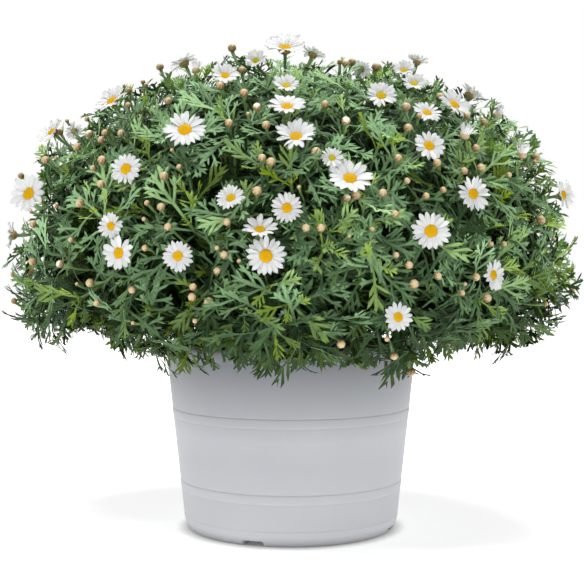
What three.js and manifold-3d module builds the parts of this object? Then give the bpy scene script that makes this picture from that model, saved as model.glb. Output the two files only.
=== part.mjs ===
// A marguerite daisy in a round grey pot: a dome of cut leaves with white daisies and round buds.
// Millimetres, +Z up. The pot stands on the ground at the origin and its front faces -Y.
import * as THREE from "three";
import { mergeVertices } from "three/addons/utils/BufferGeometryUtils.js";
import Module from "manifold-3d";

const wasm = await Module();
wasm.setup();

const { Vector2, Vector3 } = THREE;
const degree = Math.PI / 180;
const gap = 0.3;

// The pot
const potHeight = 150;
const potSides = 36;
const wallThickness = 2.4;
const footRadius = 86;
const wallSlope = 0.111;
const lipRadius = 105.6;
const lipHeight = 10;
const bandHeights = [33, 91];
const bandWidth = 7.5;
const bandStep = 0.8;
const padRadius = 45;
const floorHeight = 7.2;
const notchTurns = [-20, 70, 160, 250];
const notchWidth = 18;
const notchHeight = 4.5;
const drainRadius = 4;
const drainRing = 59;

// The soil and the woody base
const soilTop = 135;
const trunkRadius = 7;
const trunkDepth = 25;
const forkHeight = 186;
const branchRadius = 2.8;
const branchDepth = 5;

// The dome of leaves: two superellipses turned round the pot's axis, the lower one boxier
const dome = { radius: 221, middle: 205, top: 170, topPower: 2.5, bottom: 68, bottomPower: 4 };
const coreShare = 0.84;
const coreInside = 0.77;
const coreColumns = 3;
const coreRough = 0.06;
const crownRadius = 85;
const sideBoughs = 8;
const skirtAngle = 157 * degree;
const leavesPerBough = 14;
const leavesOnCrown = 13;
const leafLength = [54, 68];
const rootDepth = 9;
const leafThickness = 1;

// The flowers
const petals = 8;
const discShare = 0.33;
const stalkRadius = 1.3;
const pegDepth = 10;
const backSprays = 11;

// Where a viewer a metre in front of the pot sees the flowers: distance and eye height in mm, the focal
// length, the pot's axis and the horizon in picture points
const sight = { distance: 1014, height: 216, focal: 1232, axis: 291, horizon: 262 };

// The flowers seen from the front, spray by spray: place (x, y) and width in picture points, the way the
// flower faces (turn to the right of the viewer, tilt up, degrees), how far its petals rise, degrees, and
// how far it stands back, mm. An open flower has no cup value. A cup of 1 is a half-open flower.
const frontSprays = [
  {
    blooms: [
      { x: 285, y: 48, width: 42, turn: 0, tilt: 60, lift: 8 },
      { x: 256, y: 61, width: 26, turn: -10, tilt: 26, lift: 35 },
      { x: 313, y: 54, width: 28, turn: 120, tilt: 66, lift: 10 },
    ],
    buds: [{ x: 232, y: 48 }],
  },
  {
    blooms: [
      { x: 184, y: 63, width: 30, turn: -110, tilt: 60, lift: 8, back: 25 },
      { x: 196, y: 69, width: 13, turn: 0, tilt: 84, cup: 1 },
    ],
    buds: [{ x: 160, y: 67 }],
  },
  { blooms: [{ x: 225, y: 76, width: 31, turn: 12, tilt: 38, lift: 22 }], buds: [{ x: 220, y: 86 }] },
  { blooms: [{ x: 112, y: 101, width: 36, turn: -33, tilt: 40, lift: 16 }], buds: [{ x: 128, y: 91 }] },
  { blooms: [{ x: 185, y: 130, width: 45, turn: -3, tilt: 34, lift: 8 }], buds: [{ x: 168, y: 101 }] },
  { blooms: [{ x: 126, y: 169, width: 34, turn: -18, tilt: 10, lift: 4 }], buds: [{ x: 101, y: 184 }] },
  { blooms: [{ x: 231, y: 198, width: 31, turn: -14, tilt: 32, lift: 12 }], buds: [{ x: 257, y: 191 }] },
  {
    blooms: [
      { x: 296, y: 137, width: 45, turn: 0, tilt: 46, lift: 20 },
      { x: 287, y: 107, width: 41, turn: 0, tilt: 53, lift: 17 },
      { x: 286, y: 86, width: 30, turn: 0, tilt: 48, lift: 22 },
    ],
    buds: [{ x: 266, y: 125 }],
  },
  {
    blooms: [
      { x: 350, y: 179, width: 46, turn: 3, tilt: 38, lift: 14 },
      { x: 332, y: 158, width: 24, turn: 8, tilt: 22, lift: 16 },
    ],
    buds: [{ x: 316, y: 152 }],
  },
  { blooms: [{ x: 381, y: 96, width: 33, turn: 6, tilt: 32, lift: 16 }], buds: [{ x: 406, y: 107 }] },
  {
    blooms: [
      { x: 404, y: 71, width: 26, turn: -5, tilt: 44, lift: 26 },
      { x: 417, y: 62, width: 24, turn: 130, tilt: 68, lift: 10, back: 30 },
    ],
    buds: [{ x: 376, y: 67 }],
  },
  { blooms: [{ x: 414, y: 84, width: 28, turn: 4, tilt: 44, lift: 24 }], buds: [] },
  {
    blooms: [
      { x: 454, y: 105, width: 37, turn: 33, tilt: 38, lift: 14 },
      { x: 470, y: 95, width: 29, turn: 106, tilt: 48, lift: 10, back: 22 },
    ],
    buds: [{ x: 440, y: 97 }],
  },
  { blooms: [{ x: 427, y: 113, width: 31, turn: 14, tilt: 46, lift: 12 }], buds: [{ x: 408, y: 128 }] },
  {
    blooms: [
      { x: 429, y: 146, width: 35, turn: 18, tilt: 24, lift: 10 },
      { x: 465, y: 134, width: 17, turn: 35, tilt: 60, cup: 1 },
    ],
    buds: [{ x: 437, y: 163 }],
  },
  { blooms: [{ x: 498, y: 114, width: 15, turn: 40, tilt: 55, cup: 1 }], buds: [{ x: 484, y: 122 }] },
  { blooms: [{ x: 522, y: 153, width: 17, turn: 25, tilt: 66, cup: 1 }], buds: [{ x: 536, y: 157 }] },
  { blooms: [{ x: 473, y: 194, width: 37, turn: 24, tilt: 8, lift: 14 }], buds: [{ x: 464, y: 171 }] },
  { blooms: [{ x: 431, y: 231, width: 40, turn: 0, tilt: 4, lift: 4 }], buds: [{ x: 409, y: 265 }] },
  { blooms: [{ x: 563, y: 195, width: 31, turn: 46, tilt: 6, lift: 20 }], buds: [{ x: 541, y: 220 }] },
  { blooms: [{ x: 493, y: 275, width: 32, turn: 40, tilt: 2, lift: 14 }], buds: [{ x: 476, y: 277 }] },
  { blooms: [{ x: 398, y: 317, width: 31, turn: 16, tilt: 2, lift: 8 }], buds: [{ x: 394, y: 356 }] },
  {
    blooms: [
      { x: 266, y: 256, width: 41, turn: 2, tilt: 0 },
      { x: 260, y: 230, width: 38, turn: -3, tilt: 50, lift: 20 },
      { x: 287, y: 208, width: 33, turn: -3, tilt: 14, lift: 6 },
    ],
    buds: [{ x: 306, y: 228 }],
  },
  { blooms: [{ x: 178, y: 256, width: 32, turn: -7, tilt: 0, lift: 6 }], buds: [{ x: 168, y: 227 }] },
  {
    blooms: [
      { x: 119, y: 253, width: 37, turn: -27, tilt: 2, lift: 10 },
      { x: 111, y: 226, width: 28, turn: -20, tilt: 6, lift: 10 },
    ],
    buds: [{ x: 90, y: 283 }],
  },
  {
    blooms: [
      { x: 29, y: 194, width: 42, turn: -18, tilt: 12, lift: 10 },
      { x: 13, y: 235, width: 28, turn: -86, tilt: 5, lift: 18 },
    ],
    buds: [{ x: 33, y: 262 }],
  },
  {
    blooms: [
      { x: 52, y: 132, width: 32, turn: -38, tilt: 32, lift: 12 },
      { x: 73, y: 130, width: 26, turn: -150, tilt: 20, back: 28 },
    ],
    buds: [{ x: 45, y: 160 }],
  },
  { blooms: [{ x: 360, y: 67, width: 28, turn: 160, tilt: 30, back: 45 }], buds: [{ x: 346, y: 64 }] },
];

// Seeded random numbers from 0 to 1.
function draws(seed) {
  let state = seed;
  return () => {
    state = (state + 0x6d2b79f5) | 0;
    let mixed = Math.imul(state ^ (state >>> 15), 1 | state);
    mixed = (mixed + Math.imul(mixed ^ (mixed >>> 7), 61 | mixed)) ^ mixed;
    return ((mixed ^ (mixed >>> 14)) >>> 0) / 4294967296;
  };
}

// A closed geometry as a solid for joining and cutting.
function solidOf(geometry) {
  const bare = geometry.clone();
  bare.deleteAttribute("normal");
  bare.deleteAttribute("uv");
  const merged = mergeVertices(bare, 1e-4);
  return new wasm.Manifold(
    new wasm.Mesh({
      numProp: 3,
      vertProperties: new Float32Array(merged.attributes.position.array),
      triVerts: new Uint32Array(merged.index.array),
    }),
  );
}

function geometryOf(solid) {
  const { vertProperties, triVerts } = solid.getMesh();
  const geometry = new THREE.BufferGeometry();
  geometry.setAttribute("position", new THREE.BufferAttribute(vertProperties, 3));
  geometry.setIndex(new THREE.BufferAttribute(triVerts, 1));
  geometry.computeVertexNormals();
  return geometry;
}

// The largest body of a solid: what a cut has left loose is dropped.
function largestOf(solid) {
  return solid.decompose().reduce((a, b) => (a.volume() >= b.volume() ? a : b));
}

// A surface put together from rings of points.
class Surface {
  points = [];
  faces = [];

  point(place) {
    this.points.push(place.x, place.y, place.z);
    return this.points.length / 3 - 1;
  }

  // A ring round a centre, counter-clockwise as seen from the tip of across x up.
  ring(centre, across, up, radius, sides) {
    return Array.from({ length: sides }, (_, i) => {
      const turn = (i / sides) * 2 * Math.PI;
      return this.point(
        centre
          .clone()
          .addScaledVector(across, radius * Math.cos(turn))
          .addScaledVector(up, radius * Math.sin(turn)),
      );
    });
  }

  // Faces between two rings, the second one further along, whatever their counts.
  bridge(first, second) {
    let i = 0;
    let j = 0;
    while (i < first.length || j < second.length) {
      const a = first[i % first.length];
      const b = second[j % second.length];
      const firstIsDue = (i + 1) / first.length <= (j + 1) / second.length;
      if (j >= second.length || (i < first.length && firstIsDue)) {
        i += 1;
        this.faces.push(a, first[i % first.length], b);
      } else {
        j += 1;
        this.faces.push(a, second[j % second.length], b);
      }
    }
  }

  // A flat lid; turned round it closes the near end.
  lid(ring, near = false) {
    for (let i = 1; i + 1 < ring.length; i += 1) {
      this.faces.push(ring[0], near ? ring[i + 1] : ring[i], near ? ring[i] : ring[i + 1]);
    }
  }

  solid() {
    const geometry = new THREE.BufferGeometry();
    geometry.setAttribute("position", new THREE.Float32BufferAttribute(this.points, 3));
    geometry.setIndex(this.faces);
    return solidOf(geometry);
  }
}

// Two directions across an axis.
function frameOf(axis) {
  const aside = Math.abs(axis.z) < 0.9 ? new Vector3(0, 0, 1) : new Vector3(1, 0, 0);
  const across = aside.cross(axis).normalize();
  return [across, axis.clone().cross(across)];
}

// Rings along a path, each turned as little as can be from the one before. Returns the last ring, its
// direction and its across direction, so that a flower or a bud can grow on from there.
function sweep(surface, path, radii, sides) {
  let across;
  let ring;
  let along;
  path.forEach((place, i) => {
    const before = path[Math.max(i - 1, 0)];
    const after = path[Math.min(i + 1, path.length - 1)];
    along = after.clone().sub(before).normalize();
    across = i ? across.addScaledVector(along, -across.dot(along)).normalize() : frameOf(along)[0];
    const next = surface.ring(place, across, along.clone().cross(across), radii[i], sides);
    if (ring) surface.bridge(ring, next);
    else surface.lid(next, true);
    ring = next;
  });
  return { ring, along, across };
}

function tube(path, radii, sides) {
  const surface = new Surface();
  surface.lid(sweep(surface, path, radii, sides).ring);
  return surface.solid();
}

// A point of the dome: angle down from the top, turn round the axis from the front to the right, and
// share of the dome's size.
function domePoint(angle, turn, share) {
  const above = Math.cos(angle) > 0;
  const bend = 2 / (above ? dome.topPower : dome.bottomPower);
  const r = share * dome.radius * Math.sin(angle) ** bend;
  const rise = share * (above ? dome.top : -dome.bottom) * Math.abs(Math.cos(angle)) ** bend;
  return new Vector3(r * Math.sin(turn), -r * Math.cos(turn), dome.middle + rise);
}

// The share of the dome's size at which a point lies: 1 on the dome.
function domeShare(place) {
  const above = place.z > dome.middle;
  const power = above ? dome.topPower : dome.bottomPower;
  const r = Math.hypot(place.x, place.y) / dome.radius;
  const h = Math.abs(place.z - dome.middle) / (above ? dome.top : dome.bottom);
  return (r ** power + h ** power) ** (1 / power);
}

// The angle down from the top at which the upper dome of a given share has radius r.
function angleAt(r, share) {
  return Math.asin((r / (share * dome.radius)) ** (dome.topPower / 2));
}

// The dome's outward direction at a point.
function outwardAt(place) {
  const step = 0.5;
  const slope = ["x", "y", "z"].map((key) => {
    const moved = place.clone();
    moved[key] += step;
    return domeShare(moved) - domeShare(place);
  });
  return new Vector3(...slope).normalize();
}

// Where the line of sight through a picture point first meets the dome, or passes it closest, and the
// size of one picture point there.
function seenAt(spot) {
  const eye = new Vector3(0, -sight.distance, sight.height);
  const line = new Vector3((spot.x - sight.axis) / sight.focal, 1, (sight.horizon - spot.y) / sight.focal);
  let best = { share: Infinity };
  for (let depth = sight.distance - 250; depth < sight.distance + 120; depth += 1) {
    const place = eye.clone().addScaledVector(line, depth);
    const share = domeShare(place);
    if (share < best.share) best = { share, place, depth };
    if (share <= 1) break;
  }
  best.place.addScaledVector(line, spot.back ?? 0);
  return { place: best.place, scale: best.depth / sight.focal };
}

function facing(turn, tilt) {
  const level = Math.cos(tilt * degree);
  const side = turn * degree;
  return new Vector3(level * Math.sin(side), -level * Math.cos(side), Math.sin(tilt * degree));
}

// A curved path from a start that leaves along one direction to an end that is reached along another.
function bend(start, leave, end, reach, count) {
  const length = start.distanceTo(end);
  const curve = new THREE.CubicBezierCurve3(
    start,
    start.clone().addScaledVector(leave, 0.45 * length),
    end.clone().addScaledVector(reach, -0.35 * length),
    end,
  );
  return curve.getPoints(count);
}

// The pot: a turned shell with a flat pad and a foot ring that touch the ground.
function potSolid() {
  const wallAt = (z) => footRadius + wallSlope * z;
  const lipFoot = potHeight - lipHeight;
  const bands = bandHeights.flatMap((z) => [
    new Vector2(wallAt(z), z),
    new Vector2(wallAt(z) + bandStep, z + 0.8),
    new Vector2(wallAt(z + bandWidth) + bandStep, z + bandWidth - 0.8),
    new Vector2(wallAt(z + bandWidth), z + bandWidth),
  ]);
  const profile = [
    new Vector2(0, 0),
    new Vector2(padRadius, 0),
    new Vector2(padRadius + 3, floorHeight - 2.4),
    new Vector2(footRadius - 16, floorHeight - 2.4),
    new Vector2(footRadius - 11, 0),
    new Vector2(footRadius - 5, 0),
    new Vector2(footRadius - 1.2, 2.4),
    new Vector2(wallAt(8), 8),
    ...bands,
    new Vector2(wallAt(lipFoot), lipFoot),
    new Vector2(lipRadius - 0.8, lipFoot + 3),
    new Vector2(lipRadius, potHeight - 2),
    new Vector2(lipRadius - 1, potHeight),
    new Vector2(lipRadius - 3.4, potHeight),
    new Vector2(wallAt(lipFoot) - wallThickness, lipFoot),
    new Vector2(wallAt(10) - wallThickness, 10),
    new Vector2(wallAt(10) - wallThickness - 4, floorHeight),
    new Vector2(0, floorHeight),
  ];
  const turned = new THREE.LatheGeometry(profile, potSides).rotateX(Math.PI / 2);
  let pot = solidOf(turned);
  const half = notchWidth / 2;
  const notch = new THREE.Shape([
    new Vector2(-half, -1),
    new Vector2(half, -1),
    new Vector2(half, 1),
    new Vector2(half - 1.4, notchHeight),
    new Vector2(1.4 - half, notchHeight),
    new Vector2(-half, 1),
  ]);
  for (const turn of notchTurns) {
    const cutter = new THREE.ExtrudeGeometry(notch, { depth: 26, bevelEnabled: false })
      .rotateX(Math.PI / 2)
      .translate(0, -footRadius + 18, 0)
      .rotateZ(turn * degree);
    const drain = new THREE.CylinderGeometry(drainRadius, drainRadius, 12, 6)
      .rotateX(Math.PI / 2)
      .translate(0, -drainRing, floorHeight - 2)
      .rotateZ((turn + 45) * degree);
    pot = pot.subtract(solidOf(cutter)).subtract(solidOf(drain));
  }
  return pot;
}

// The soil fills the pot, with a lumpy top and a plain hole for the trunk.
function soilSolid() {
  const wallAt = (z) => footRadius + wallSlope * z - wallThickness - gap - 0.1;
  const profile = [
    new Vector2(0, floorHeight + gap),
    new Vector2(wallAt(10) - 4.2, floorHeight + gap),
    new Vector2(wallAt(10.4), 10.4),
    new Vector2(wallAt(soilTop), soilTop),
    new Vector2(0, soilTop + 2),
  ];
  const turned = new THREE.LatheGeometry(profile, potSides).rotateX(Math.PI / 2);
  const at = turned.attributes.position;
  for (let i = 0; i < at.count; i += 1) {
    const lump = 1.6 * Math.sin(0.13 * at.getX(i) + 1) * Math.cos(0.11 * at.getY(i));
    if (at.getZ(i) > soilTop - 1) at.setZ(i, at.getZ(i) + lump);
  }
  const foot = new Vector3(0, 0, soilTop - trunkDepth - gap);
  const hole = tube([foot, new Vector3(0, 0, soilTop + 20)], [trunkRadius + gap, trunkRadius + gap], 6);
  return solidOf(turned).subtract(hole);
}

// Where a branch ends in a bough's core, and the way it points there.
function branchEnds() {
  const ceiling = domePoint(angleAt(crownRadius - gap / 2, coreInside), 0, coreInside).z;
  const ends = [{ place: new Vector3(0, 0, ceiling), way: new Vector3(0, 0, 1) }];
  for (let k = 0; k < sideBoughs; k += 1) {
    const place = domePoint(66 * degree, ((k + 0.5) / sideBoughs) * 2 * Math.PI, coreInside);
    ends.push({ place, way: outwardAt(place) });
  }
  return ends;
}

// The trunk and its branches, one into each bough.
function stemSolid() {
  const fork = new Vector3(0, 0, forkHeight);
  const foot = new Vector3(0, 0, soilTop - trunkDepth);
  let stems = tube([foot, fork], [trunkRadius, 0.8 * trunkRadius], 6);
  for (const { place, way } of branchEnds()) {
    const inCore = place.clone().addScaledVector(way, branchDepth);
    const atCore = place.clone().addScaledVector(way, -8);
    const low = new Vector3(0, 0, forkHeight - 14);
    const leave = place.clone().sub(low).setZ(90).normalize();
    const path = [inCore, ...bend(atCore, way.clone().negate(), low, leave.negate(), 2)];
    const radii = path.map((_, i) => branchRadius + 0.4 * i);
    stems = stems.add(tube(path, radii, 4));
  }
  return stems;
}

// A side bough's core: a sector of thick rough shell under the leaves, from the crown down to the skirt,
// between an outer and an inner grid of points.
function sideCore(k) {
  const sector = (2 * Math.PI) / sideBoughs;
  const rows = 5;
  const random = draws(31 + k);
  const surface = new Surface();
  const [outer, inner] = [coreShare, coreInside].map((share) => {
    const first = angleAt(crownRadius + gap / 2, share);
    return Array.from({ length: rows + 1 }, (_, i) =>
      Array.from({ length: coreColumns + 1 }, (_, j) => {
        const angle = first + ((skirtAngle - first) * i) / rows;
        const turn = (k + j / coreColumns) * sector;
        const inward = j > 0 && j < coreColumns;
        const rough = inward && i > 0 && share === coreShare ? coreRough * (random() - 0.5) : 0;
        const seam = new Vector3(Math.cos(turn), Math.sin(turn), 0).multiplyScalar(0.6 * gap);
        const place = domePoint(angle, turn, share + rough);
        return surface.point(inward ? place : place.addScaledVector(seam, j ? -1 : 1));
      }),
    );
  });
  const quad = (a, b, c, d) => surface.faces.push(a, b, c, a, c, d);
  for (let i = 0; i < rows; i += 1) {
    for (let j = 0; j < coreColumns; j += 1) {
      quad(outer[i][j], outer[i + 1][j], outer[i + 1][j + 1], outer[i][j + 1]);
      quad(inner[i][j], inner[i][j + 1], inner[i + 1][j + 1], inner[i + 1][j]);
    }
    quad(outer[i][0], inner[i][0], inner[i + 1][0], outer[i + 1][0]);
    quad(outer[i][coreColumns], outer[i + 1][coreColumns], inner[i + 1][coreColumns], inner[i][coreColumns]);
  }
  for (let j = 0; j < coreColumns; j += 1) {
    quad(outer[rows][j], inner[rows][j], inner[rows][j + 1], outer[rows][j + 1]);
    quad(outer[0][j], outer[0][j + 1], inner[0][j + 1], inner[0][j]);
  }
  return surface.solid();
}

// The crown's core: the cap of the same shell, inside the ring of side boughs.
function crownCore() {
  const surface = new Surface();
  const [across, up] = [new Vector3(0, -1, 0), new Vector3(1, 0, 0)];
  const ring = (share, radius, sides) => {
    const height = domePoint(angleAt(radius, share), 0, share).z;
    return surface.ring(new Vector3(0, 0, height), across, up, radius, sides);
  };
  const edge = crownRadius - gap / 2;
  const rings = [
    ring(coreInside, edge, coreColumns * sideBoughs),
    ring(coreShare, edge, coreColumns * sideBoughs),
    ring(coreShare + 0.01, 0.5 * crownRadius, 10),
  ];
  surface.lid(rings[0], true);
  surface.bridge(rings[0], rings[1]);
  surface.bridge(rings[1], rings[2]);
  surface.lid(rings[2]);
  return surface.solid();
}

// A leaf: a thin arched blade cut into a tip and two pairs of lobes. Each row of the outline gives the
// share of the length, the share of the length out from the rib, and whether it is a sharp lobe's tip.
const leafOutline = [
  [0, 0.045, false],
  [0.36, 0.25, true],
  [0.4, 0.055, false],
  [0.69, 0.27, true],
  [0.66, 0.05, false],
  [1, 0, true],
];

function leafSolid(root, along, face, length, arch, thickness) {
  const side = face.clone().cross(along);
  const outline = [
    ...leafOutline,
    ...leafOutline
      .slice(0, -1)
      .reverse()
      .map(([s, w, sharp]) => [s, -w, sharp]),
  ];
  const surface = new Surface();
  const layer = (rise) =>
    outline.map(([s, w, sharp]) =>
      root
        .clone()
        .addScaledVector(along, s * length)
        .addScaledVector(side, w * length)
        .addScaledVector(face, (sharp ? 0 : rise) - length * (arch * s * s + 0.25 * Math.abs(w))),
    );
  const top = layer(thickness / 2).map((place) => surface.point(place));
  const under = layer(-thickness / 2).map((place, i) => (outline[i][2] ? top[i] : surface.point(place)));
  const strips = [
    [0, 1, 2],
    [0, 2, 8],
    [0, 8, 10],
    [8, 9, 10],
    [2, 3, 4],
    [2, 4, 6],
    [2, 6, 8],
    [6, 7, 8],
    [4, 5, 6],
  ];
  for (const [a, b, c] of strips) {
    surface.faces.push(top[a], top[c], top[b], under[a], under[b], under[c]);
  }
  outline.forEach(([, , sharp], i) => {
    const j = (i + 1) % outline.length;
    if (!outline[j][2]) surface.faces.push(top[i], top[j], under[j]);
    if (!sharp) surface.faces.push(top[i], under[j], under[i]);
  });
  return surface.solid();
}

// One flower on its stalk: the stalk widens into the cup under the disc, wedge petals stand out between
// the cup's ring and the disc's ring, and a dome closes the top.
function bloomSurface(path, flower, random) {
  const surface = new Surface();
  const radius = flower.width / 2;
  const disc = radius * (flower.cup ? 0.62 : discShare);
  const lift = (flower.lift ?? 0) * degree;
  const stem = sweep(surface, path, path.map(() => stalkRadius), 3);
  const axis = flower.way;
  const across = stem.across.addScaledVector(axis, -stem.across.dot(axis)).normalize();
  const up = axis.clone().cross(across);
  const centre = flower.place;
  const at = (rise) => centre.clone().addScaledVector(axis, rise);
  const cup = surface.ring(at(-1.6), across, up, disc + 0.4, petals);
  const rim = surface.ring(at(0.4), across, up, disc, petals);
  surface.bridge(stem.ring, cup);
  for (let i = 0; i < petals; i += 1) {
    const j = (i + 1) % petals;
    const reach = flower.cup ? radius * 1.05 : radius * Math.cos(lift) * (0.94 + 0.1 * random());
    const bow = radius * (Math.sin(lift) + 0.1 * (random() - 0.3));
    const rise = flower.cup ? 1.5 * radius : (i % 2 ? 0.4 : -0.9) + bow;
    const tips = [0.17, 0.83].map((part) => {
      const turn = ((i + part) / petals) * 2 * Math.PI;
      return surface.point(
        at(rise)
          .addScaledVector(across, reach * Math.cos(turn))
          .addScaledVector(up, reach * Math.sin(turn)),
      );
    });
    surface.faces.push(rim[i], tips[0], tips[1], rim[i], tips[1], rim[j]);
    surface.faces.push(cup[i], tips[1], tips[0], cup[i], cup[j], tips[1]);
    surface.faces.push(cup[i], tips[0], rim[i], cup[j], rim[j], tips[1]);
  }
  const crown = surface.ring(at(flower.cup ? 1.2 : 0.32 * disc + 1.6), across, up, 0.55 * disc, 4);
  surface.bridge(rim, crown);
  surface.lid(crown);
  return surface;
}

// A round bud on its stalk.
function budSurface(path, radius) {
  const surface = new Surface();
  const stem = sweep(surface, path, path.map(() => 0.8), 3);
  const up = stem.along.clone().cross(stem.across);
  const at = (rise) => path[path.length - 1].clone().addScaledVector(stem.along, rise);
  const belly = surface.ring(at(radius), stem.across, up, radius, 5);
  const top = surface.ring(at(1.9 * radius), stem.across, up, 0.5 * radius, 3);
  surface.bridge(stem.ring, belly);
  surface.bridge(belly, top);
  surface.lid(top);
  return surface;
}

// Keeps a turn round the axis clear of the seams between the side boughs.
function offSeam(turn, margin) {
  const sector = (2 * Math.PI) / sideBoughs;
  const cell = Math.floor(turn / sector);
  const inside = turn - cell * sector;
  return cell * sector + Math.min(Math.max(inside, margin), sector - margin);
}

// The foot of a spray: on the core under the middle of its flowers.
function sprayFoot(flowers) {
  const foot = new Vector3();
  flowers.forEach(({ place }) => foot.addScaledVector(place, 1 / flowers.length));
  const outward = outwardAt(foot);
  while (domeShare(foot) > coreShare) foot.addScaledVector(outward, -0.5);
  let r = Math.hypot(foot.x, foot.y);
  if (Math.abs(r - crownRadius) < 7) r = crownRadius + (r < crownRadius ? -7 : 7);
  const turn = Math.atan2(foot.x, -foot.y);
  const kept = r < crownRadius ? turn : offSeam(turn, 7 / r);
  const angle = angleAt(Math.min(r, coreShare * dome.radius), coreShare);
  const place = domePoint(Math.min(angle, 88 * degree), kept, coreShare);
  if (foot.z < dome.middle) place.z = foot.z;
  return { place, way: outwardAt(place) };
}

// A spray: the first flower's stalk stands in the bough, and the other flowers and the buds branch off it.
function spraySolid(flowers, buds, random) {
  const foot = sprayFoot(flowers);
  const peg = foot.place.clone().addScaledVector(foot.way, -pegDepth);
  const start = foot.place.clone().addScaledVector(foot.way, 9);
  const stalkEnd = (flower) => flower.place.clone().addScaledVector(flower.way, -6);
  let spray = bloomSurface([peg, start, stalkEnd(flowers[0])], flowers[0], random).solid();
  for (const flower of flowers.slice(1)) {
    spray = spray.add(bloomSurface([start, stalkEnd(flower)], flower, random).solid());
  }
  for (const bud of buds) {
    const way = outwardAt(bud.place);
    const end = bud.place.clone().addScaledVector(way, -3);
    spray = spray.add(budSurface([start, end], 3.2 + 0.6 * random()).solid());
  }
  const mouth = foot.place.clone().addScaledVector(foot.way, 20);
  const bottom = peg.clone().addScaledVector(foot.way, -gap);
  const bore = stalkRadius + 2 * gap;
  return { solid: spray, hole: tube([bottom, mouth], [bore, bore], 3) };
}

// The flowers' places: those seen from the front, and a seeded spread over the back of the dome.
function sprayPlans() {
  const front = frontSprays.map(({ blooms, buds }) => ({
    flowers: blooms.map((bloom) => {
      const { place, scale } = seenAt(bloom);
      const { cup, lift } = bloom;
      return { place, width: bloom.width * scale, way: facing(bloom.turn, bloom.tilt), cup, lift };
    }),
    buds: buds.map((bud) => ({ place: seenAt(bud).place })),
  }));
  const random = draws(11);
  const back = Array.from({ length: backSprays }, (_, i) => {
    const turn = 104 + 148 * ((i * 0.618 + 0.05) % 1);
    const angle = 26 + (78 * (i + 0.5)) / backSprays;
    const near = (dAngle, dTurn) => domePoint((angle + dAngle) * degree, (turn + dTurn) * degree, 1);
    const slant = 14 / Math.sin(angle * degree) ** 0.8;
    const flowers = [
      [0, 0],
      [5 - 3 * random(), slant * (0.75 + 0.3 * random())],
    ].map(([dAngle, dTurn], n) => {
      const place = near(dAngle, dTurn);
      const way = outwardAt(place).add(new Vector3(0, 0, 0.35 * random()));
      return { place, width: (n ? 26 : 30) + 4 * random(), way: way.normalize() };
    });
    return { flowers, buds: [{ place: near(-6, -0.45 * slant) }] };
  });
  return [...front, ...back];
}

const boxesMeet = (a, b) => [0, 1, 2].every((i) => a.min[i] <= b.max[i] && b.min[i] <= a.max[i]);

// Whether a solid shares space with any of the others.
function touches(solid, others) {
  const box = solid.boundingBox();
  return others.some((other) => boxesMeet(box, other.box) && solid.intersect(other.solid).volume() > 0);
}

// Leaves on a bough: rooted in its core, leaning out all round, hanging lower down. A leaf that would
// come within the gap of another piece is drawn again.
function leafy(core, count, spotAt, others, random) {
  const own = [];
  let bough = core;
  for (let n = 0; n < count; n += 1) {
    for (let tries = 0; tries < 40; tries += 1) {
      const { angle, turn } = spotAt(n, random);
      const foot = domePoint(angle, turn, coreShare);
      const outward = outwardAt(foot);
      const [across, up] = frameOf(outward);
      const spin = 2 * Math.PI * random();
      const level = across.multiplyScalar(Math.cos(spin)).addScaledVector(up, Math.sin(spin));
      const lead = outward.clone().setZ(outward.z * (outward.z > 0 ? 1 : 0.35)).normalize();
      level.addScaledVector(lead, -level.dot(lead)).normalize();
      const lean = (34 + 28 * random()) * degree;
      const along = lead.clone().multiplyScalar(Math.cos(lean)).addScaledVector(level, Math.sin(lean));
      const face = lead.clone().multiplyScalar(Math.sin(lean)).addScaledVector(level, -Math.cos(lean));
      const length = leafLength[0] + (leafLength[1] - leafLength[0]) * random();
      const root = foot.clone().addScaledVector(outward, -rootDepth);
      const arch = 0.02 + 0.1 * random();
      const wide = leafSolid(root, along, face, length + 2 * gap, arch, leafThickness + 2.6 * gap);
      if (touches(wide, others) || touches(wide, own)) continue;
      const leaf = leafSolid(root, along, face, length, arch, leafThickness);
      own.push({ solid: leaf, box: leaf.boundingBox() });
      bough = bough.add(leaf);
      break;
    }
  }
  return largestOf(bough);
}

function meshOf(name, solid, color, roughness) {
  const material = new THREE.MeshStandardMaterial({ color, roughness, metalness: 0 });
  const mesh = new THREE.Mesh(geometryOf(solid), material);
  mesh.name = name;
  return mesh;
}

const pot = potSolid();
const soil = soilSolid();
const stems = stemSolid();

const random = draws(5);
const sprays = sprayPlans().map(({ flowers, buds }) => spraySolid(flowers, buds, random));

const cores = [crownCore(), ...Array.from({ length: sideBoughs }, (_, k) => sideCore(k))];
const holes = [
  ...branchEnds().map(({ place, way }) =>
    tube(
      [place.clone().addScaledVector(way, -12), place.clone().addScaledVector(way, branchDepth + gap)],
      [branchRadius + 2 * gap, branchRadius + 2 * gap],
      4,
    ),
  ),
  ...sprays.map(({ hole }) => hole),
];
const drilled = cores.map((core) => holes.reduce((left, hole) => left.subtract(hole), core));

const placed = [pot, stems, ...sprays.map(({ solid }) => solid), ...drilled].map((solid) => ({
  solid,
  box: solid.boundingBox(),
}));
// Leaves stand closest together where the dome is widest.
const leafAngle = (part) => (28 + 112 * (part + 0.05 * Math.sin(2 * Math.PI * part))) * degree;

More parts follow.
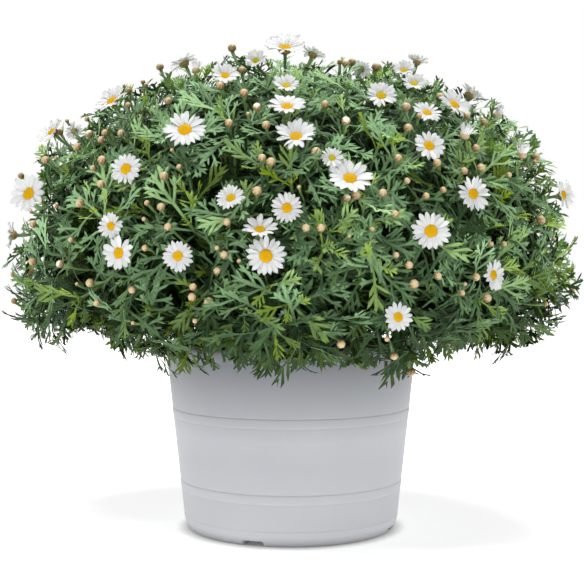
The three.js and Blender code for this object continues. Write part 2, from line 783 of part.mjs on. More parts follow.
const boughs = drilled.map((core, k) => {
  const own = placed.findIndex(({ solid }) => solid === core);
  const others = placed.filter((_, i) => i !== own);
  const sector = (2 * Math.PI) / sideBoughs;
  const spotAt = k
    ? (n, draw) => ({
        angle: leafAngle((n + draw()) / leavesPerBough),
        turn: (k - 1 + 0.1 + 0.8 * ((n * 0.618 + 0.25 * draw()) % 1)) * sector,
      })
    : (n, draw) => ({
        angle: angleAt(crownRadius * Math.sqrt((n + draw()) / leavesOnCrown) * 0.92, coreShare),
        turn: 2 * Math.PI * ((n * 0.618 + 0.1 * draw()) % 1),
      });
  const bough = leafy(core, k ? leavesPerBough : leavesOnCrown, spotAt, others, random);
  placed[own] = { solid: bough, box: bough.boundingBox() };
  return bough;
});

const plant = new THREE.Group();
plant.add(meshOf("stems", stems, 0x6f6a45, 0.8));
boughs.forEach((bough, k) => plant.add(meshOf(k ? `bough_${k}` : "bough_crown", bough, 0x567f5c, 0.7)));
sprays.forEach(({ solid }, i) => {
  plant.add(meshOf(`spray_${String(i + 1).padStart(2, "0")}`, solid, 0xf4f3ee, 0.6));
});

const group = new THREE.Group();
group.add(meshOf("pot", pot, 0xc3c6cb, 0.6));
group.add(meshOf("soil", soil, 0x3a2c22, 0.95));
group.add(plant);

export default group;
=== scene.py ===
import math

import bpy
import numpy as np
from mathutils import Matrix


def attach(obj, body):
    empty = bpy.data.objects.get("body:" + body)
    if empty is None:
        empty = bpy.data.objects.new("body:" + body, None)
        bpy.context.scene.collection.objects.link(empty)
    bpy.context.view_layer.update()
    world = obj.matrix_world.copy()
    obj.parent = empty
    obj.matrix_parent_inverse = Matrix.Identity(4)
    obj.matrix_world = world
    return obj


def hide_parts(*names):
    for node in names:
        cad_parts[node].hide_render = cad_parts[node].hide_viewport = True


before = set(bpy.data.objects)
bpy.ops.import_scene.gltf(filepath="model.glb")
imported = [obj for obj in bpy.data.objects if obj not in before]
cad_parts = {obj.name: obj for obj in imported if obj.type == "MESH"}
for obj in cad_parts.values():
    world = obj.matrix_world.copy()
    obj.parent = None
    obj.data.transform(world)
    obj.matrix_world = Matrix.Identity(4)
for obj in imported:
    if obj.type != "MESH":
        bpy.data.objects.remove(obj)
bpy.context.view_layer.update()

millimetre = 0.001
degree = math.pi / 180
goldenTurn = 137.508 * degree

# the dome of leaves: two superellipses turned round Z, the lower one boxier
dome = {"radius": 221, "middle": 205, "top": 170, "topPower": 2.5, "bottom": 68, "bottomPower": 4}
# the solids' boughs: their cores' share of the dome, the crown's radius, the number round it, how far flowers
# keep from the seams, and the height of the trunk's fork
boughs = {"core": 0.84, "crownRadius": 85, "sides": 8, "seam": 7, "fork": 186}
boughNames = ["bough_crown"] + [f"bough_{k}" for k in range(1, boughs["sides"] + 1)]

# the photograph's view: distance, eye height and focal length, the pot's axis and the horizon in the picture
sight = {
    "distance": 1014, "height": 216, "focal": 1232, "axis": 291, "horizon": 262, "frame": 584,
    "before": 250, "behind": 120,  # how far round the middle seenAt looks for the dome
}
eye = np.array([0.0, -sight["distance"], sight["height"]])


def unit(v):
    return v / np.maximum(np.linalg.norm(v, axis=-1, keepdims=True), 1e-9)


def blend(a, b, t):
    return a + (b - a) * t


def smooth(low, high, x):  # 0 below low, 1 above high, and 3t^2 - 2t^3 between
    t = np.clip((x - low) / (high - low), 0, 1)
    return t * t * (3 - 2 * t)


def fullTurn(count):  # angles spread evenly once round
    return 2 * np.pi * np.arange(count) / count


def around(r, turn, z):  # (r sin(turn), -r cos(turn), z): the turn runs to the right from the front
    return np.stack(np.broadcast_arrays(r * np.sin(turn), -r * np.cos(turn), z), -1)


def turnOf(p):
    return np.arctan2(p[..., 0], -p[..., 1])


def spun(r, turn, z):  # (r cos(turn), r sin(turn), z), in a shape's own frame
    return np.stack(np.broadcast_arrays(r * np.cos(turn), r * np.sin(turn), z), -1)


def flatWay(angle):
    return np.stack([np.cos(angle), np.sin(angle)], -1)


# r = share R sin(angle)^(2/power) and rise = share H |cos(angle)|^(2/power), at a turn from the front
def domePoint(angle, turn, share=1.0):
    above = np.cos(angle) > 0
    power = np.where(above, 2 / dome["topPower"], 2 / dome["bottomPower"])
    r = share * dome["radius"] * np.abs(np.sin(angle)) ** power
    rise = share * np.where(above, dome["top"], -dome["bottom"]) * np.abs(np.cos(angle)) ** power
    return around(r, turn, dome["middle"] + rise)


# ((r/R)^p + (|z - middle|/H)^p)^(1/p): 1 on the dome
def domeShare(p):
    above = p[..., 2] > dome["middle"]
    power = np.where(above, dome["topPower"], dome["bottomPower"])
    r = np.hypot(p[..., 0], p[..., 1]) / dome["radius"]
    h = np.abs(p[..., 2] - dome["middle"]) / np.where(above, dome["top"], dome["bottom"])
    return (r**power + h**power) ** (1 / power)


def outwardAt(p):  # the slope of domeShare over half a millimetre
    steps = 0.5 * np.eye(3)
    return unit(np.stack([domeShare(p + s) - domeShare(p) for s in steps], -1))


def angleAt(r, share):  # the angle whose dome point stands r from the axis
    return np.arcsin(np.minimum(r / (share * dome["radius"]), 1) ** (dome["topPower"] / 2))


def facing(turn, tilt):
    return around(np.cos(tilt * degree), turn * degree, np.sin(tilt * degree))


# where the line of sight through each picture point first meets the dome, or passes it closest
def seenAt(x, y, back=0.0):
    x, y, back = (np.atleast_1d(np.asarray(v, float)) for v in (x, y, back))
    across, rise = (x - sight["axis"]) / sight["focal"], (sight["horizon"] - y) / sight["focal"]
    line = np.stack([across, np.ones_like(x), rise], -1)
    depths = sight["distance"] + np.arange(-sight["before"], sight["behind"], 1.0)
    share = domeShare(eye + line[:, None] * depths[:, None])
    inside = share <= 1
    depth = depths[np.where(inside.any(1), inside.argmax(1), share.argmin(1))]
    return eye + line * (depth + back)[:, None], depth / sight["focal"]


# Closed shells: rings (b, k, n, 3) joined along k, a flat cap on the first ring, and a point or a cap last
def shells(rings, tips=None, tone=None, **more):
    b, k, n = rings.shape[:3]
    each = k * n + (tips is not None)
    first = np.arange(b)[:, None] * each
    i, j = np.meshgrid(np.arange(k - 1), np.arange(n), indexing="ij")
    here, beside = i * n + j, i * n + (j + 1) % n
    quads = np.stack([here, beside, beside + n, here + n], -1).reshape(-1, 4)
    faces = [(first[:, :, None] + quads).reshape(-1, 4), first + np.arange(n)[::-1]]
    points = rings.reshape(b, -1, 3)
    last = (k - 1) * n + np.arange(n)
    if tips is None:
        faces.append(first + last)
    else:
        points = np.concatenate([points, tips[:, None]], 1)
        ends = np.stack([last, np.roll(last, -1), np.full(n, k * n)], -1)
        faces.append((first[:, :, None] + ends).reshape(-1, 3))
    if tone is not None:
        spread = np.broadcast_to(tone, (*rings.shape[:3], 3)).reshape(b, -1, 3)
        if tips is not None:
            spread = np.concatenate([spread, spread[:, -1:]], 1)
        more["tone"] = spread.reshape(-1, 3)
    return {"points": points.reshape(-1, 3), "faces": faces, **more}


def toned(a, b, c):  # the three tone values of points, of shapes that fit together
    return np.stack(np.broadcast_arrays(a, b, c), -1)


# a round section of the given radii carried along paths (b, k, 3), square to each path at every station
def tubes(paths, radii, sides, tone=None, **more):
    along = unit(np.gradient(paths, axis=1))
    mean = unit(paths[:, -1] - paths[:, 0])
    spare = np.where(np.abs(mean[:, 2:]) < 0.8, [[0.0, 0, 1]], [[1.0, 0.2, 0]])
    side = unit(np.cross(along, spare[:, None]))
    wheel = flatWay(fullTurn(sides))
    spokes = wheel[:, :1] * side[:, :, None] + wheel[:, 1:] * np.cross(side, along)[:, :, None]
    radii = np.broadcast_to(radii, paths.shape[:2])[:, :, None, None]
    return shells(paths[:, :, None] + radii * spokes, tone=tone, **more)


def arcs(start, leave, end, reach, count):  # cubic curves that leave and arrive along given directions
    length = np.linalg.norm(end - start, axis=-1, keepdims=True)
    a, b = start + 0.4 * length * leave, end - 0.4 * length * reach
    t = np.linspace(0, 1, count)[:, None]
    start, a, b, end = (v[..., None, :] for v in (start, a, b, end))
    return (1 - t) ** 3 * start + 3 * (1 - t) ** 2 * t * a + 3 * (1 - t) * t**2 * b + t**3 * end


# One mesh from several shells. Each has points, faces, and maybe a tone per point, a look number, and flags
def addPiece(name, parts, looks, standsFor=()):
    offsets = np.cumsum([0] + [len(p["points"]) for p in parts])
    blocks = [(faces + offset, p) for p, offset in zip(parts, offsets) for faces in p["faces"]]

    def perFace(key, usual):
        return np.concatenate([np.full(len(faces), p.get(key, usual)) for faces, p in blocks])

    def perPoint(key, usual):
        return np.concatenate([p.get(key, np.full((len(p["points"]), *usual.shape), usual)) for p in parts])

    points = np.concatenate([p["points"] for p in parts]) * millimetre
    corners = np.concatenate([faces.ravel() for faces, _ in blocks])
    sizes = np.concatenate([np.full(len(faces), faces.shape[1]) for faces, _ in blocks])
    mesh = bpy.data.meshes.new(name)
    mesh.vertices.add(len(points))
    mesh.vertices.foreach_set("co", points.astype(np.float32).ravel())
    mesh.loops.add(len(corners))
    mesh.loops.foreach_set("vertex_index", corners.astype(np.int32))
    mesh.polygons.add(len(sizes))
    mesh.polygons.foreach_set("loop_start", (np.cumsum(sizes) - sizes).astype(np.int32))
    mesh.polygons.foreach_set("material_index", perFace("look", 0).astype(np.int32))
    mesh.polygons.foreach_set("use_smooth", perFace("smooth", True))
    mesh.update(calc_edges=True)
    tones = mesh.attributes.new("tone", "FLOAT_VECTOR", "POINT")
    tones.data.foreach_set("vector", perPoint("tone", np.zeros(3)).astype(np.float32).ravel())
    rims = perPoint("rim", np.array(False))
    if rims.any():  # an edge between two rim points stays sharp
        ends = np.empty(2 * len(mesh.edges), np.int32)
        mesh.edges.foreach_get("vertices", ends)
        sharp = mesh.attributes.new("sharp_edge", "BOOLEAN", "EDGE")
        sharp.data.foreach_set("value", rims[ends.reshape(-1, 2)].all(1))
    for look in looks:
        mesh.materials.append(look)
    piece = bpy.data.objects.new(name, mesh)
    bpy.context.scene.collection.objects.link(piece)
    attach(piece, "root")
    if standsFor:
        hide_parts(*standsFor)
    return piece


# Materials: nodes are put together by a few helpers, and each finish has its settings beside its function.
# Colours are screen colours of 0 to 255, scales of noise are per metre, and a bump is a strength and a depth
def isSocket(value):
    return hasattr(value, "is_output")


def linear(red, green, blue):  # a screen colour as the shader's linear one
    c = np.array([red, green, blue]) / 255
    c = np.where(c < 0.04045, c / 12.92, ((c + 0.055) / 1.055) ** 2.4)
    return (*c.tolist(), 1.0)


def setInputs(tree, node, values):
    for key, value in values.items():
        if isSocket(value):
            tree.links.new(value, node.inputs[key])
        else:
            node.inputs[key].default_value = value


def addNode(tree, kind, values, **settings):
    node = tree.nodes.new(kind)
    for key, value in settings.items():
        setattr(node, key, value)
    setInputs(tree, node, values)
    return node


def mixColours(tree, share, first, second):
    first, second = (c if isSocket(c) else linear(*c) for c in (first, second))
    values = {"Factor": share, "A": first, "B": second}
    return addNode(tree, "ShaderNodeMix", values, data_type="RGBA").outputs["Result"]


def placeOf(tree, kind="Object"):
    return addNode(tree, "ShaderNodeTexCoord", {}).outputs[kind]


def noiseOn(tree, scale, detail=3.0, rough=0.55):
    values = {"Vector": placeOf(tree), "Scale": scale, "Detail": detail, "Roughness": rough}
    return addNode(tree, "ShaderNodeTexNoise", values).outputs["Fac"]


def stretch(tree, value, low, high, toLow=0.0, toHigh=1.0):
    values = {"Value": value, "From Min": low, "From Max": high, "To Min": toLow, "To Max": toHigh}
    return addNode(tree, "ShaderNodeMapRange", values).outputs["Result"]


def compute(tree, operation, *values):
    return addNode(tree, "ShaderNodeMath", dict(enumerate(values)), operation=operation).outputs[0]


def tonesOf(tree):
    read = addNode(tree, "ShaderNodeAttribute", {}, attribute_name="tone")
    split = addNode(tree, "ShaderNodeSeparateXYZ", {"Vector": read.outputs["Vector"]})
    return split.outputs["X"], split.outputs["Y"], split.outputs["Z"]


def newLook(name):
    look = bpy.data.materials.new(name)
    look.use_nodes = True
    return look, look.node_tree


# a look's colour and roughness, a bump of its height socket, and more of the shader's inputs
def finished(look, colour, rough, height, bump, more=()):
    tree = look.node_tree
    values = {"Height": height, "Strength": bump[0], "Distance": bump[1]}
    normal = addNode(tree, "ShaderNodeBump", values).outputs["Normal"]
    shader = tree.nodes["Principled BSDF"]
    setInputs(tree, shader, {"Base Color": colour, "Roughness": rough, "Normal": normal, **dict(more)})
    return look


leafFinish = {
    # the dark old colour is also the painted shade that leaves fall to deep in the bush and low down
    "oldAndShaded": (24, 47, 11), "grown": (137, 187, 124), "young": (176, 206, 44), "rib": (196, 220, 186),
    "mottle": 160, "rough": (0.48, 0.64), "gloss": 0.12, "grain": (900, 2.0), "bump": (0.25, 0.0004),
}


def leafLook():  # tone: youth, a chance per leaf, and nearness to the rib; painted shade has lowered youth and chance deep in the bush
    s = leafFinish
    look, tree = newLook("cutLeaf")
    youth, chance, rib = tonesOf(tree)
    mottle = noiseOn(tree, s["mottle"])
    grown = mixColours(tree, chance, s["oldAndShaded"], s["grown"])
    aged = mixColours(tree, youth, grown, s["young"])
    lit = stretch(tree, compute(tree, "MULTIPLY", rib, chance), 0.0, 1.0, 0.0, 0.6)
    ribbed = mixColours(tree, lit, aged, s["rib"])
    colour = mixColours(tree, stretch(tree, mottle, 0.3, 0.7, 0.0, 0.25), ribbed, s["oldAndShaded"])
    rough = stretch(tree, mottle, 0.3, 0.7, *s["rough"])
    more = {"Specular IOR Level": s["gloss"]}
    return finished(look, colour, rough, noiseOn(tree, *s["grain"]), s["bump"], more)


stalkFinish = {
    "green": [(76, 108, 58), (112, 144, 84)], "woody": (112, 92, 66), "streak": (70, 100, 58),
    "streaks": 500, "rough": 0.55, "grain": 1500, "bump": (0.2, 0.0003),
}


def stalkLook():  # tone: how woody, a chance per stalk
    s = stalkFinish
    look, tree = newLook("greenStalk")
    woody, chance, _ = tonesOf(tree)
    colour = mixColours(tree, woody, mixColours(tree, chance, *s["green"]), s["woody"])
    streaks = stretch(tree, noiseOn(tree, s["streaks"]), 0.3, 0.7, 0.0, 0.3)
    colour = mixColours(tree, streaks, colour, s["streak"])
    return finished(look, colour, s["rough"], noiseOn(tree, s["grain"]), s["bump"])


petalFinish = {
    # grey lines of painted shade along the ray's grooves: their colour and how close they lie
    "white": [(231, 231, 229), (217, 219, 221)], "grooveShade": (186, 192, 196), "grooveRate": 21.0,
    "root": (196, 204, 160), "rough": 0.55, "gloss": 0.3, "bump": (0.25, 0.0003),
    "through": 0.6, "deep": 0.0015,  # thin petals let light through
}


def petalLook():  # tone: share of the way out, a chance per ray, and share across
    s = petalFinish
    look, tree = newLook("whiteRay")
    out, chance, across = tonesOf(tree)
    wave = compute(tree, "COSINE", compute(tree, "MULTIPLY", across, s["grooveRate"]))
    white = mixColours(tree, chance, *s["white"])
    # painted shade: grey lines along the grooves
    grooveShaded = mixColours(tree, stretch(tree, wave, 0.2, 1.0, 0.0, 0.3), white, s["grooveShade"])
    colour = mixColours(tree, stretch(tree, out, 0.0, 0.3, 0.4, 0.0), grooveShaded, s["root"])
    more = {
        "Specular IOR Level": s["gloss"], "Subsurface Weight": s["through"],
        "Subsurface Radius": (1.0, 1.0, 1.0), "Subsurface Scale": s["deep"],
    }
    return finished(look, colour, s["rough"], wave, s["bump"], more)


discFinish = {
    "rim": [(222, 172, 0), (200, 142, 0)], "centre": [(204, 170, 0), (184, 148, 0)],
    "unripe": (166, 170, 16), "rough": 0.75, "gloss": 0.12, "grain": (2600, 2.0), "bump": (0.4, 0.0004),
}


def discLook():  # tone: share of the way out, a chance per floret, and greenness
    s = discFinish
    look, tree = newLook("yellowDisc")
    out, chance, greenness = tonesOf(tree)
    rim, centre = (mixColours(tree, chance, *s[key]) for key in ("rim", "centre"))
    ripe = mixColours(tree, stretch(tree, out, 0.25, 0.6), centre, rim)
    colour = mixColours(tree, greenness, ripe, s["unripe"])
    more = {"Specular IOR Level": s["gloss"]}
    return finished(look, colour, s["rough"], noiseOn(tree, *s["grain"]), s["bump"], more)


budFinish = {
    "skin": [(122, 114, 60), (216, 192, 152)], "edge": (124, 84, 50), "white": (246, 240, 226),
    "spot": (150, 122, 78), "spots": 1400, "rough": 0.5, "grain": 2200, "bump": (0.2, 0.0003),
}


def budLook():  # tone: height on the bud, nearness to a bract's edge, and how far the white shows
    s = budFinish
    look, tree = newLook("buffBud")
    high, edge, white = tonesOf(tree)
    skin = mixColours(tree, stretch(tree, high, 0.2, 1.0), *s["skin"])
    edged = mixColours(tree, stretch(tree, edge, 0.3, 1.0, 0.0, 0.9), skin, s["edge"])
    colour = mixColours(tree, white, edged, s["white"])
    spots = stretch(tree, noiseOn(tree, s["spots"]), 0.35, 0.7, 0.0, 0.25)
    colour = mixColours(tree, spots, colour, s["spot"])
    return finished(look, colour, s["rough"], noiseOn(tree, s["grain"]), s["bump"])


potFinish = {
    "wall": [(195, 197, 203), (202, 204, 208)], "clouds": (9, 4.0), "speck": (226, 228, 232),
    "specks": (700, 3.0), "rough": (0.46, 0.56), "gloss": 0.4, "bump": (0.12, 0.0004),
    # painted light and shade by height: between two heights in metres the share goes from the third number to
    # the last
    "paintedLightAndShade": [
        ((219, 221, 226), (0.0, 0.06, 1.0, 0.0)),  # painted light: paler foot
        ((132, 130, 132), (0.001, 0.008, 0.5, 0.0)),  # painted shade: dark edge on the ground
        ((92, 96, 101), (0.08, 0.14, 0.0, 0.85)),  # painted shade: darker under the leaves
    ],
}


def potLook():
    s = potFinish
    look, tree = newLook("matteGreyPot")
    cloud, speck = noiseOn(tree, *s["clouds"]), noiseOn(tree, *s["specks"])
    colour = mixColours(tree, stretch(tree, cloud, 0.3, 0.7), *s["wall"])
    colour = mixColours(tree, stretch(tree, speck, 0.55, 0.75, 0.0, 0.12), colour, s["speck"])
    high = addNode(tree, "ShaderNodeSeparateXYZ", {"Vector": placeOf(tree)}).outputs["Z"]
    # painted light on the foot, and painted shade at the ground and under the leaves, by height
    for paintedColour, span in s["paintedLightAndShade"]:
        colour = mixColours(tree, stretch(tree, high, *span), colour, paintedColour)
    rough = stretch(tree, cloud, 0.3, 0.7, *s["rough"])
    return finished(look, colour, rough, speck, s["bump"], {"Specular IOR Level": s["gloss"]})


# finishes that are one grain between a dark and a pale colour; relief is the bump's noise where it is another
grainFinish = {
    # painted shade: the near-black greens of the shell inside the bush
    "innerShadeShell": {
        "dark": (14, 24, 10), "pale": (38, 62, 30), "grain": (90, 4.0, 0.7), "rough": 0.85,
        "relief": (260, 4.0, 0.7), "bump": (0.9, 0.004),
    },
    "pottingSoil": {
        "dark": (34, 24, 18), "pale": (92, 70, 52), "grain": (420, 5.0, 0.7), "rough": 0.95,
        "bump": (0.8, 0.002),
    },
    "greyBark": {
        "dark": (84, 72, 52), "pale": (134, 122, 92), "grain": (260, 4.0, 0.65), "rough": 0.85,
        "bump": (0.7, 0.0012),
    },
}


def grainLook(name):
    s = grainFinish[name]
    look, tree = newLook(name)
    grain = noiseOn(tree, *s["grain"])
    relief = noiseOn(tree, *s["relief"]) if "relief" in s else grain
    colour = mixColours(tree, stretch(tree, grain, 0.35, 0.7), s["dark"], s["pale"])
    return finished(look, colour, s["rough"], relief, s["bump"])


looks = {
    "leaf": leafLook(), "stalk": stalkLook(), "petal": petalLook(), "disc": discLook(), "bud": budLook(),
    "pot": potLook(), "shadeShell": grainLook("innerShadeShell"), "soil": grainLook("pottingSoil"),
    "bark": grainLook("greyBark"),
}
print("materials made:", len(looks))


# The pot: a profile turned round Z, with notches under its foot and drain holes through its floor
potSize = {
    "height": 150, "wall": 2.4, "footRadius": 86, "slope": 0.111, "lipRadius": 105.6, "lipHeight": 10,
    "bands": [33, 91], "bandWidth": 7.5, "bandStep": 0.22, "crease": 0.11, "creaseHalf": 0.9,
    "padRadius": 45, "floor": 7.2, "columns": 128, "sharpFrom": 35,
    "notchTurns": [-20, 70, 160, 250], "notchWidth": 18, "notchHeight": 4.5, "notchDepth": 17,
    "notchSide": 0.016,  # how far a notch's side leans, as an angle
    "drainRadius": 4, "drainRing": 59, "drainTurn": 45, "drill": (-4.0, 16.0), "drillSides": 24,
}


def wallAt(z):
    return potSize["footRadius"] + potSize["slope"] * z


# each corner of a profile (r, z) is cut back by its radius, and a quadratic arc joins the two cuts
def roundCorners(corners, radii, steps=3):
    before, after = np.roll(corners, 1, 0) - corners, np.roll(corners, -1, 0) - corners
    room = 0.45 * np.minimum(np.linalg.norm(before, axis=1), np.linalg.norm(after, axis=1))
    cut = np.minimum(radii, room)[:, None]
    a, b = corners + unit(before) * cut, corners + unit(after) * cut
    t = np.linspace(0, 1, steps)[:, None]
    arcsMade = (1 - t) ** 2 * a[:, None] + 2 * t * (1 - t) * corners[:, None] + t**2 * b[:, None]
    return arcsMade.reshape(-1, 2)


def potProfile():  # corners (r, z, cut) from the pad under the floor, up the outside and down the inside
    s = potSize
    pad, foot, lip = s["padRadius"], s["footRadius"], s["lipRadius"]
    top, wall = s["height"], s["wall"]
    recess, lipFoot = s["floor"] - wall, top - s["lipHeight"]
    corners = [(pad, 0, 0.5), (pad + 3, recess, 1), (foot - 16, recess, 1), (foot - 11, 0, 1)]
    corners += [(foot - 4, 0, 2), (foot - 1.2, 2.4, 3), (wallAt(8), 8, 3), (wallAt(10.6), 10.6, 0.3)]
    corners += [(wallAt(11.4) + 0.25, 11.2, 0.3), (wallAt(12.4), 12.4, 0.3)]
    step, crease, half = s["bandStep"], s["crease"], s["creaseHalf"]
    for low in s["bands"]:
        high = low + s["bandWidth"]
        corners += [(wallAt(low - half), low - half, 0.2), (wallAt(low) - crease, low, 0.2)]
        corners += [(wallAt(low) + step, low + half, 0.5), (wallAt(high) + step, high - half, 0.5)]
        corners += [(wallAt(high) - crease, high, 0.2), (wallAt(high + half), high + half, 0.2)]
    corners += [(wallAt(lipFoot) - 0.3, lipFoot - 0.4, 0.3), (lip - 1, lipFoot + 2.2, 1.2)]
    corners += [(lip, top - 2.2, 1.4), (lip - 0.8, top, 0.9), (lip - 3.4, top, 0.8)]
    corners.append((wallAt(lipFoot) - wall, lipFoot, 1.5))
    corners += [(wallAt(10) - wall, 10, 3), (wallAt(10) - wall - 5, s["floor"], 2)]
    c = np.array(corners)
    return roundCorners(c[:, :2], c[:, 2])


def makePot():
    s = potSize
    half = s["notchWidth"] / 2 / s["footRadius"]
    notches = np.array(s["notchTurns"]) * degree
    edges = [notches + side * (half + more) for side in (-1, 1) for more in (-s["notchSide"], 0.0)]
    turns = np.concatenate([fullTurn(s["columns"]), np.concatenate(edges) % (2 * np.pi)])
    turns = np.unique(np.round(turns, 4))
    away = np.abs((turns[:, None] - notches + np.pi) % (2 * np.pi) - np.pi).min(1)
    r, z = np.split(potProfile(), 2, axis=1)
    notched = (r > s["footRadius"] - s["notchDepth"]) & (z < s["notchHeight"])
    notched = notched & (away < half - s["notchSide"] / 2)
    rings = around(r, turns, np.where(notched, s["notchHeight"], z))
    pot = addPiece("pot_shell", [shells(rings[None, :, ::-1])], [looks["pot"]], ["pot"])
    holes = around(s["drainRing"], notches + s["drainTurn"] * degree, 0.0)
    path = holes[:, None] + np.array(s["drill"])[:, None] * [0, 0, 1.0]
    drill = addPiece("drill", [tubes(path, s["drainRadius"], s["drillSides"])], [looks["pot"]])
    cut = pot.modifiers.new("drains", "BOOLEAN")
    cut.object = drill
    cut.operation = "DIFFERENCE"
    graph = bpy.context.evaluated_depsgraph_get()
    drilled = bpy.data.meshes.new_from_object(pot.evaluated_get(graph))
    pot.modifiers.clear()
    pot.data = drilled
    pot.data.name = "pot_shell"
    pot.data.set_sharp_from_angle(angle=s["sharpFrom"] * degree)
    bpy.data.objects.remove(drill)
    print("pot:", len(pot.data.polygons), "faces")


makePot()


# The soil: a polar grid lifted by a sum of sine waves, on a plug that fills the pot, with loose crumbs on it
soilSize = {
    "top": 135, "gap": 0.5, "rings": 26, "columns": 80, "waves": 26, "waveTurns": (0.04, 0.5), "lumps": 1.6,
    "lift": 0.55, "crumbs": 420, "crumbSize": (0.8, 2.6), "crumbCorner": 1.2566, "seed": 3,
}


def makeSoil():
    s = soilSize
    random = np.random.default_rng(s["seed"])
    edge = wallAt(s["top"]) - potSize["wall"] - s["gap"]
    turns = fullTurn(s["columns"])
    top = around(np.linspace(edge, 0.4, s["rings"])[:, None], turns, float(s["top"]))
    n = s["waves"]
    waves = random.normal(0, 1, (n, 2)) * np.linspace(*s["waveTurns"], n)[:, None]
    phase = random.uniform(0, 2 * np.pi, n)
    weight = s["lumps"] / (1 + np.arange(n)) ** 0.6
    swing = np.sin(top[..., :1] * waves[:, 0] + top[..., 1:2] * waves[:, 1] + phase)
    top[..., 2] += s["lift"] * (weight * swing).sum(-1)
    low = potSize["floor"] + 0.4
    side = [(40.0, low), (wallAt(10) - 8, low), (wallAt(11) - 3, 11.0)]
    rings = np.concatenate([np.stack([around(r, turns, z) for r, z in side]), top])
    plug = shells(rings[None], smooth=False)
    n = s["crumbs"]
    away = np.sqrt(random.uniform(0, 1, n)) * (edge - 3)
    turn = random.uniform(0, 2 * np.pi, n)
    size = random.uniform(*s["crumbSize"], n)[:, None, None]
    middle = around(away, turn, s["top"] + random.uniform(-0.6, 1.4, n))
    rough = random.uniform(0.6, 1.3, (n, 5, 1))
    wheel = spun(1.0, np.arange(5) * s["crumbCorner"], 0.0)
    belly = middle[:, None] + wheel * size * rough
    foot = middle[:, None] + 0.5 * wheel * size - [0, 0, 1.2]
    crumbs = shells(np.stack([foot, belly], 1), middle + [0, 0, 1.0] * size[:, 0], smooth=False)
    addPiece("soil_bed", [plug, crumbs], [looks["soil"]], ["soil"])
    print("soil made")


makeSoil()


# The flowers: picture point (x, y), width in picture points, turn and tilt; lift raises its rays, back moves
# it away along the line of sight, cup 1 is half open, young 1 has a green middle. Texts are a spray's buds
frontSprays = [
    [
        (285, 48, 42, 0, 54, {"lift": 18}),
        (256, 61, 26, -10, 26, {"lift": 35, "young": 1}),
        (313, 54, 28, 120, 66, {"lift": 10}),
        "232,48",
    ],
    [
        (184, 63, 30, -110, 60, {"lift": 8, "back": 25}),
        (196, 69, 13, 0, 84, {"cup": 1, "lift": 12}),
        "160,67",
    ],
    [(225, 76, 31, 12, 38, {"lift": 22}), "220,86"],
    [(112, 101, 36, -33, 40, {"lift": 16}), "128,91"],
    [(185, 130, 45, -3, 34, {"lift": 8}), "168,101"],
    [(126, 169, 34, -18, 10, {"lift": 4}), "101,184"],
    [(231, 198, 31, -14, 32, {"lift": 12, "young": 0.3}), "257,191"],
    [
        (296, 137, 45, 0, 46, {"lift": 20}),
        (287, 107, 41, 0, 53, {"lift": 17}),
        (286, 86, 30, 0, 48, {"lift": 22, "young": 0.6}),
        "266,125",
    ],
    [(350, 179, 46, 3, 38, {"lift": 14}), (332, 158, 24, 8, 22, {"lift": 16, "young": 1}), "316,152"],
    [(381, 96, 33, 6, 32, {"lift": 16, "young": 0.5}), "406,107"],
    [
        (404, 71, 26, -5, 44, {"lift": 26, "young": 0.5}),
        (417, 62, 24, 130, 70, {"lift": 26, "back": 30}),
        "376,67",
    ],
    [(414, 84, 28, 4, 44, {"lift": 24, "young": 0.7})],
    [(454, 105, 37, 33, 38, {"lift": 14}), (470, 95, 29, 104, 46, {"lift": 28, "back": 22}), "440,97"],
    [(427, 113, 31, 14, 46, {"lift": 12}), "408,128"],
    [(429, 146, 35, 18, 24, {"lift": 10}), (465, 134, 17, 35, 60, {"cup": 1}), "437,163"],
    [(498, 114, 15, 40, 55, {"cup": 1, "lift": 26}), "484,122"],
    [(522, 153, 17, 25, 66, {"cup": 1}), "536,157"],
    [(473, 194, 37, 24, 8, {"lift": 14}), "464,171"],
    [(431, 231, 40, 0, 4, {"lift": 4}), "409,265"],
    [(563, 195, 31, 46, 6, {"lift": 20}), "541,220"],
    [(493, 275, 32, 40, 2, {"lift": 14}), "476,277"],
    [(398, 317, 31, 16, 2, {"lift": 8}), "394,356"],
    [
        (266, 256, 41, 2, 0),
        (260, 230, 38, -3, 50, {"lift": 20}),
        (287, 208, 33, -3, 14, {"lift": 6}),
        "306,228",
    ],
    [(178, 256, 32, -7, 0, {"lift": 6}), "168,227"],
    [(119, 253, 37, -27, 2, {"lift": 10}), (111, 226, 28, -20, 6, {"lift": 10}), "90,283"],
    [(29, 194, 42, -26, 14, {"lift": 14}), (13, 235, 28, -86, 5, {"lift": 18}), "33,262"],
    [(52, 132, 32, -48, 38, {"lift": 14}), (74, 131, 20, -150, 30, {"back": 28}), "45,160"],
    [(361, 69, 22, 160, 34, {"back": 45}), "346,64"],
]
# the back's sprays, where the solids have them: turns and angles run from the first number over the second
backSprays = {
    "count": 11, "turns": (104, 148), "angles": (26, 78), "slant": 14, "widths": (30, 26), "seed": 11,
}

# the other buds that the front view shows, by their picture points; w: the white shows at the tip
looseBuds = """
143,82 146,85 128,105 220,67 242,70 244,93 257,107w 248,114 229,123 172,150 67,121 60,132 87,119 89,134w
105,133 101,140 121,133 77,147 46,160 56,158 102,160 93,168 179,167 164,176 271,162 262,158 21,176 31,212
56,206w 33,224 80,203 147,203 161,207 144,219 224,255 71,240 239,261 217,248 217,271 145,248 227,222
13,274 14,301 31,261 60,264w 77,284 132,290 97,303 133,323 192,297 193,287 209,302 195,321 340,62 352,62
346,121w 325,104 419,116 398,158 407,181 426,196 347,198w 356,195 317,155 476,148 481,168 509,175 535,162
467,116 299,187 383,193 443,190 395,214 321,228 349,236 372,229 396,255 438,276 504,244 491,244 465,284
462,293 487,298 554,239 572,291 546,304 411,372 341,344 387,339 414,284
"""


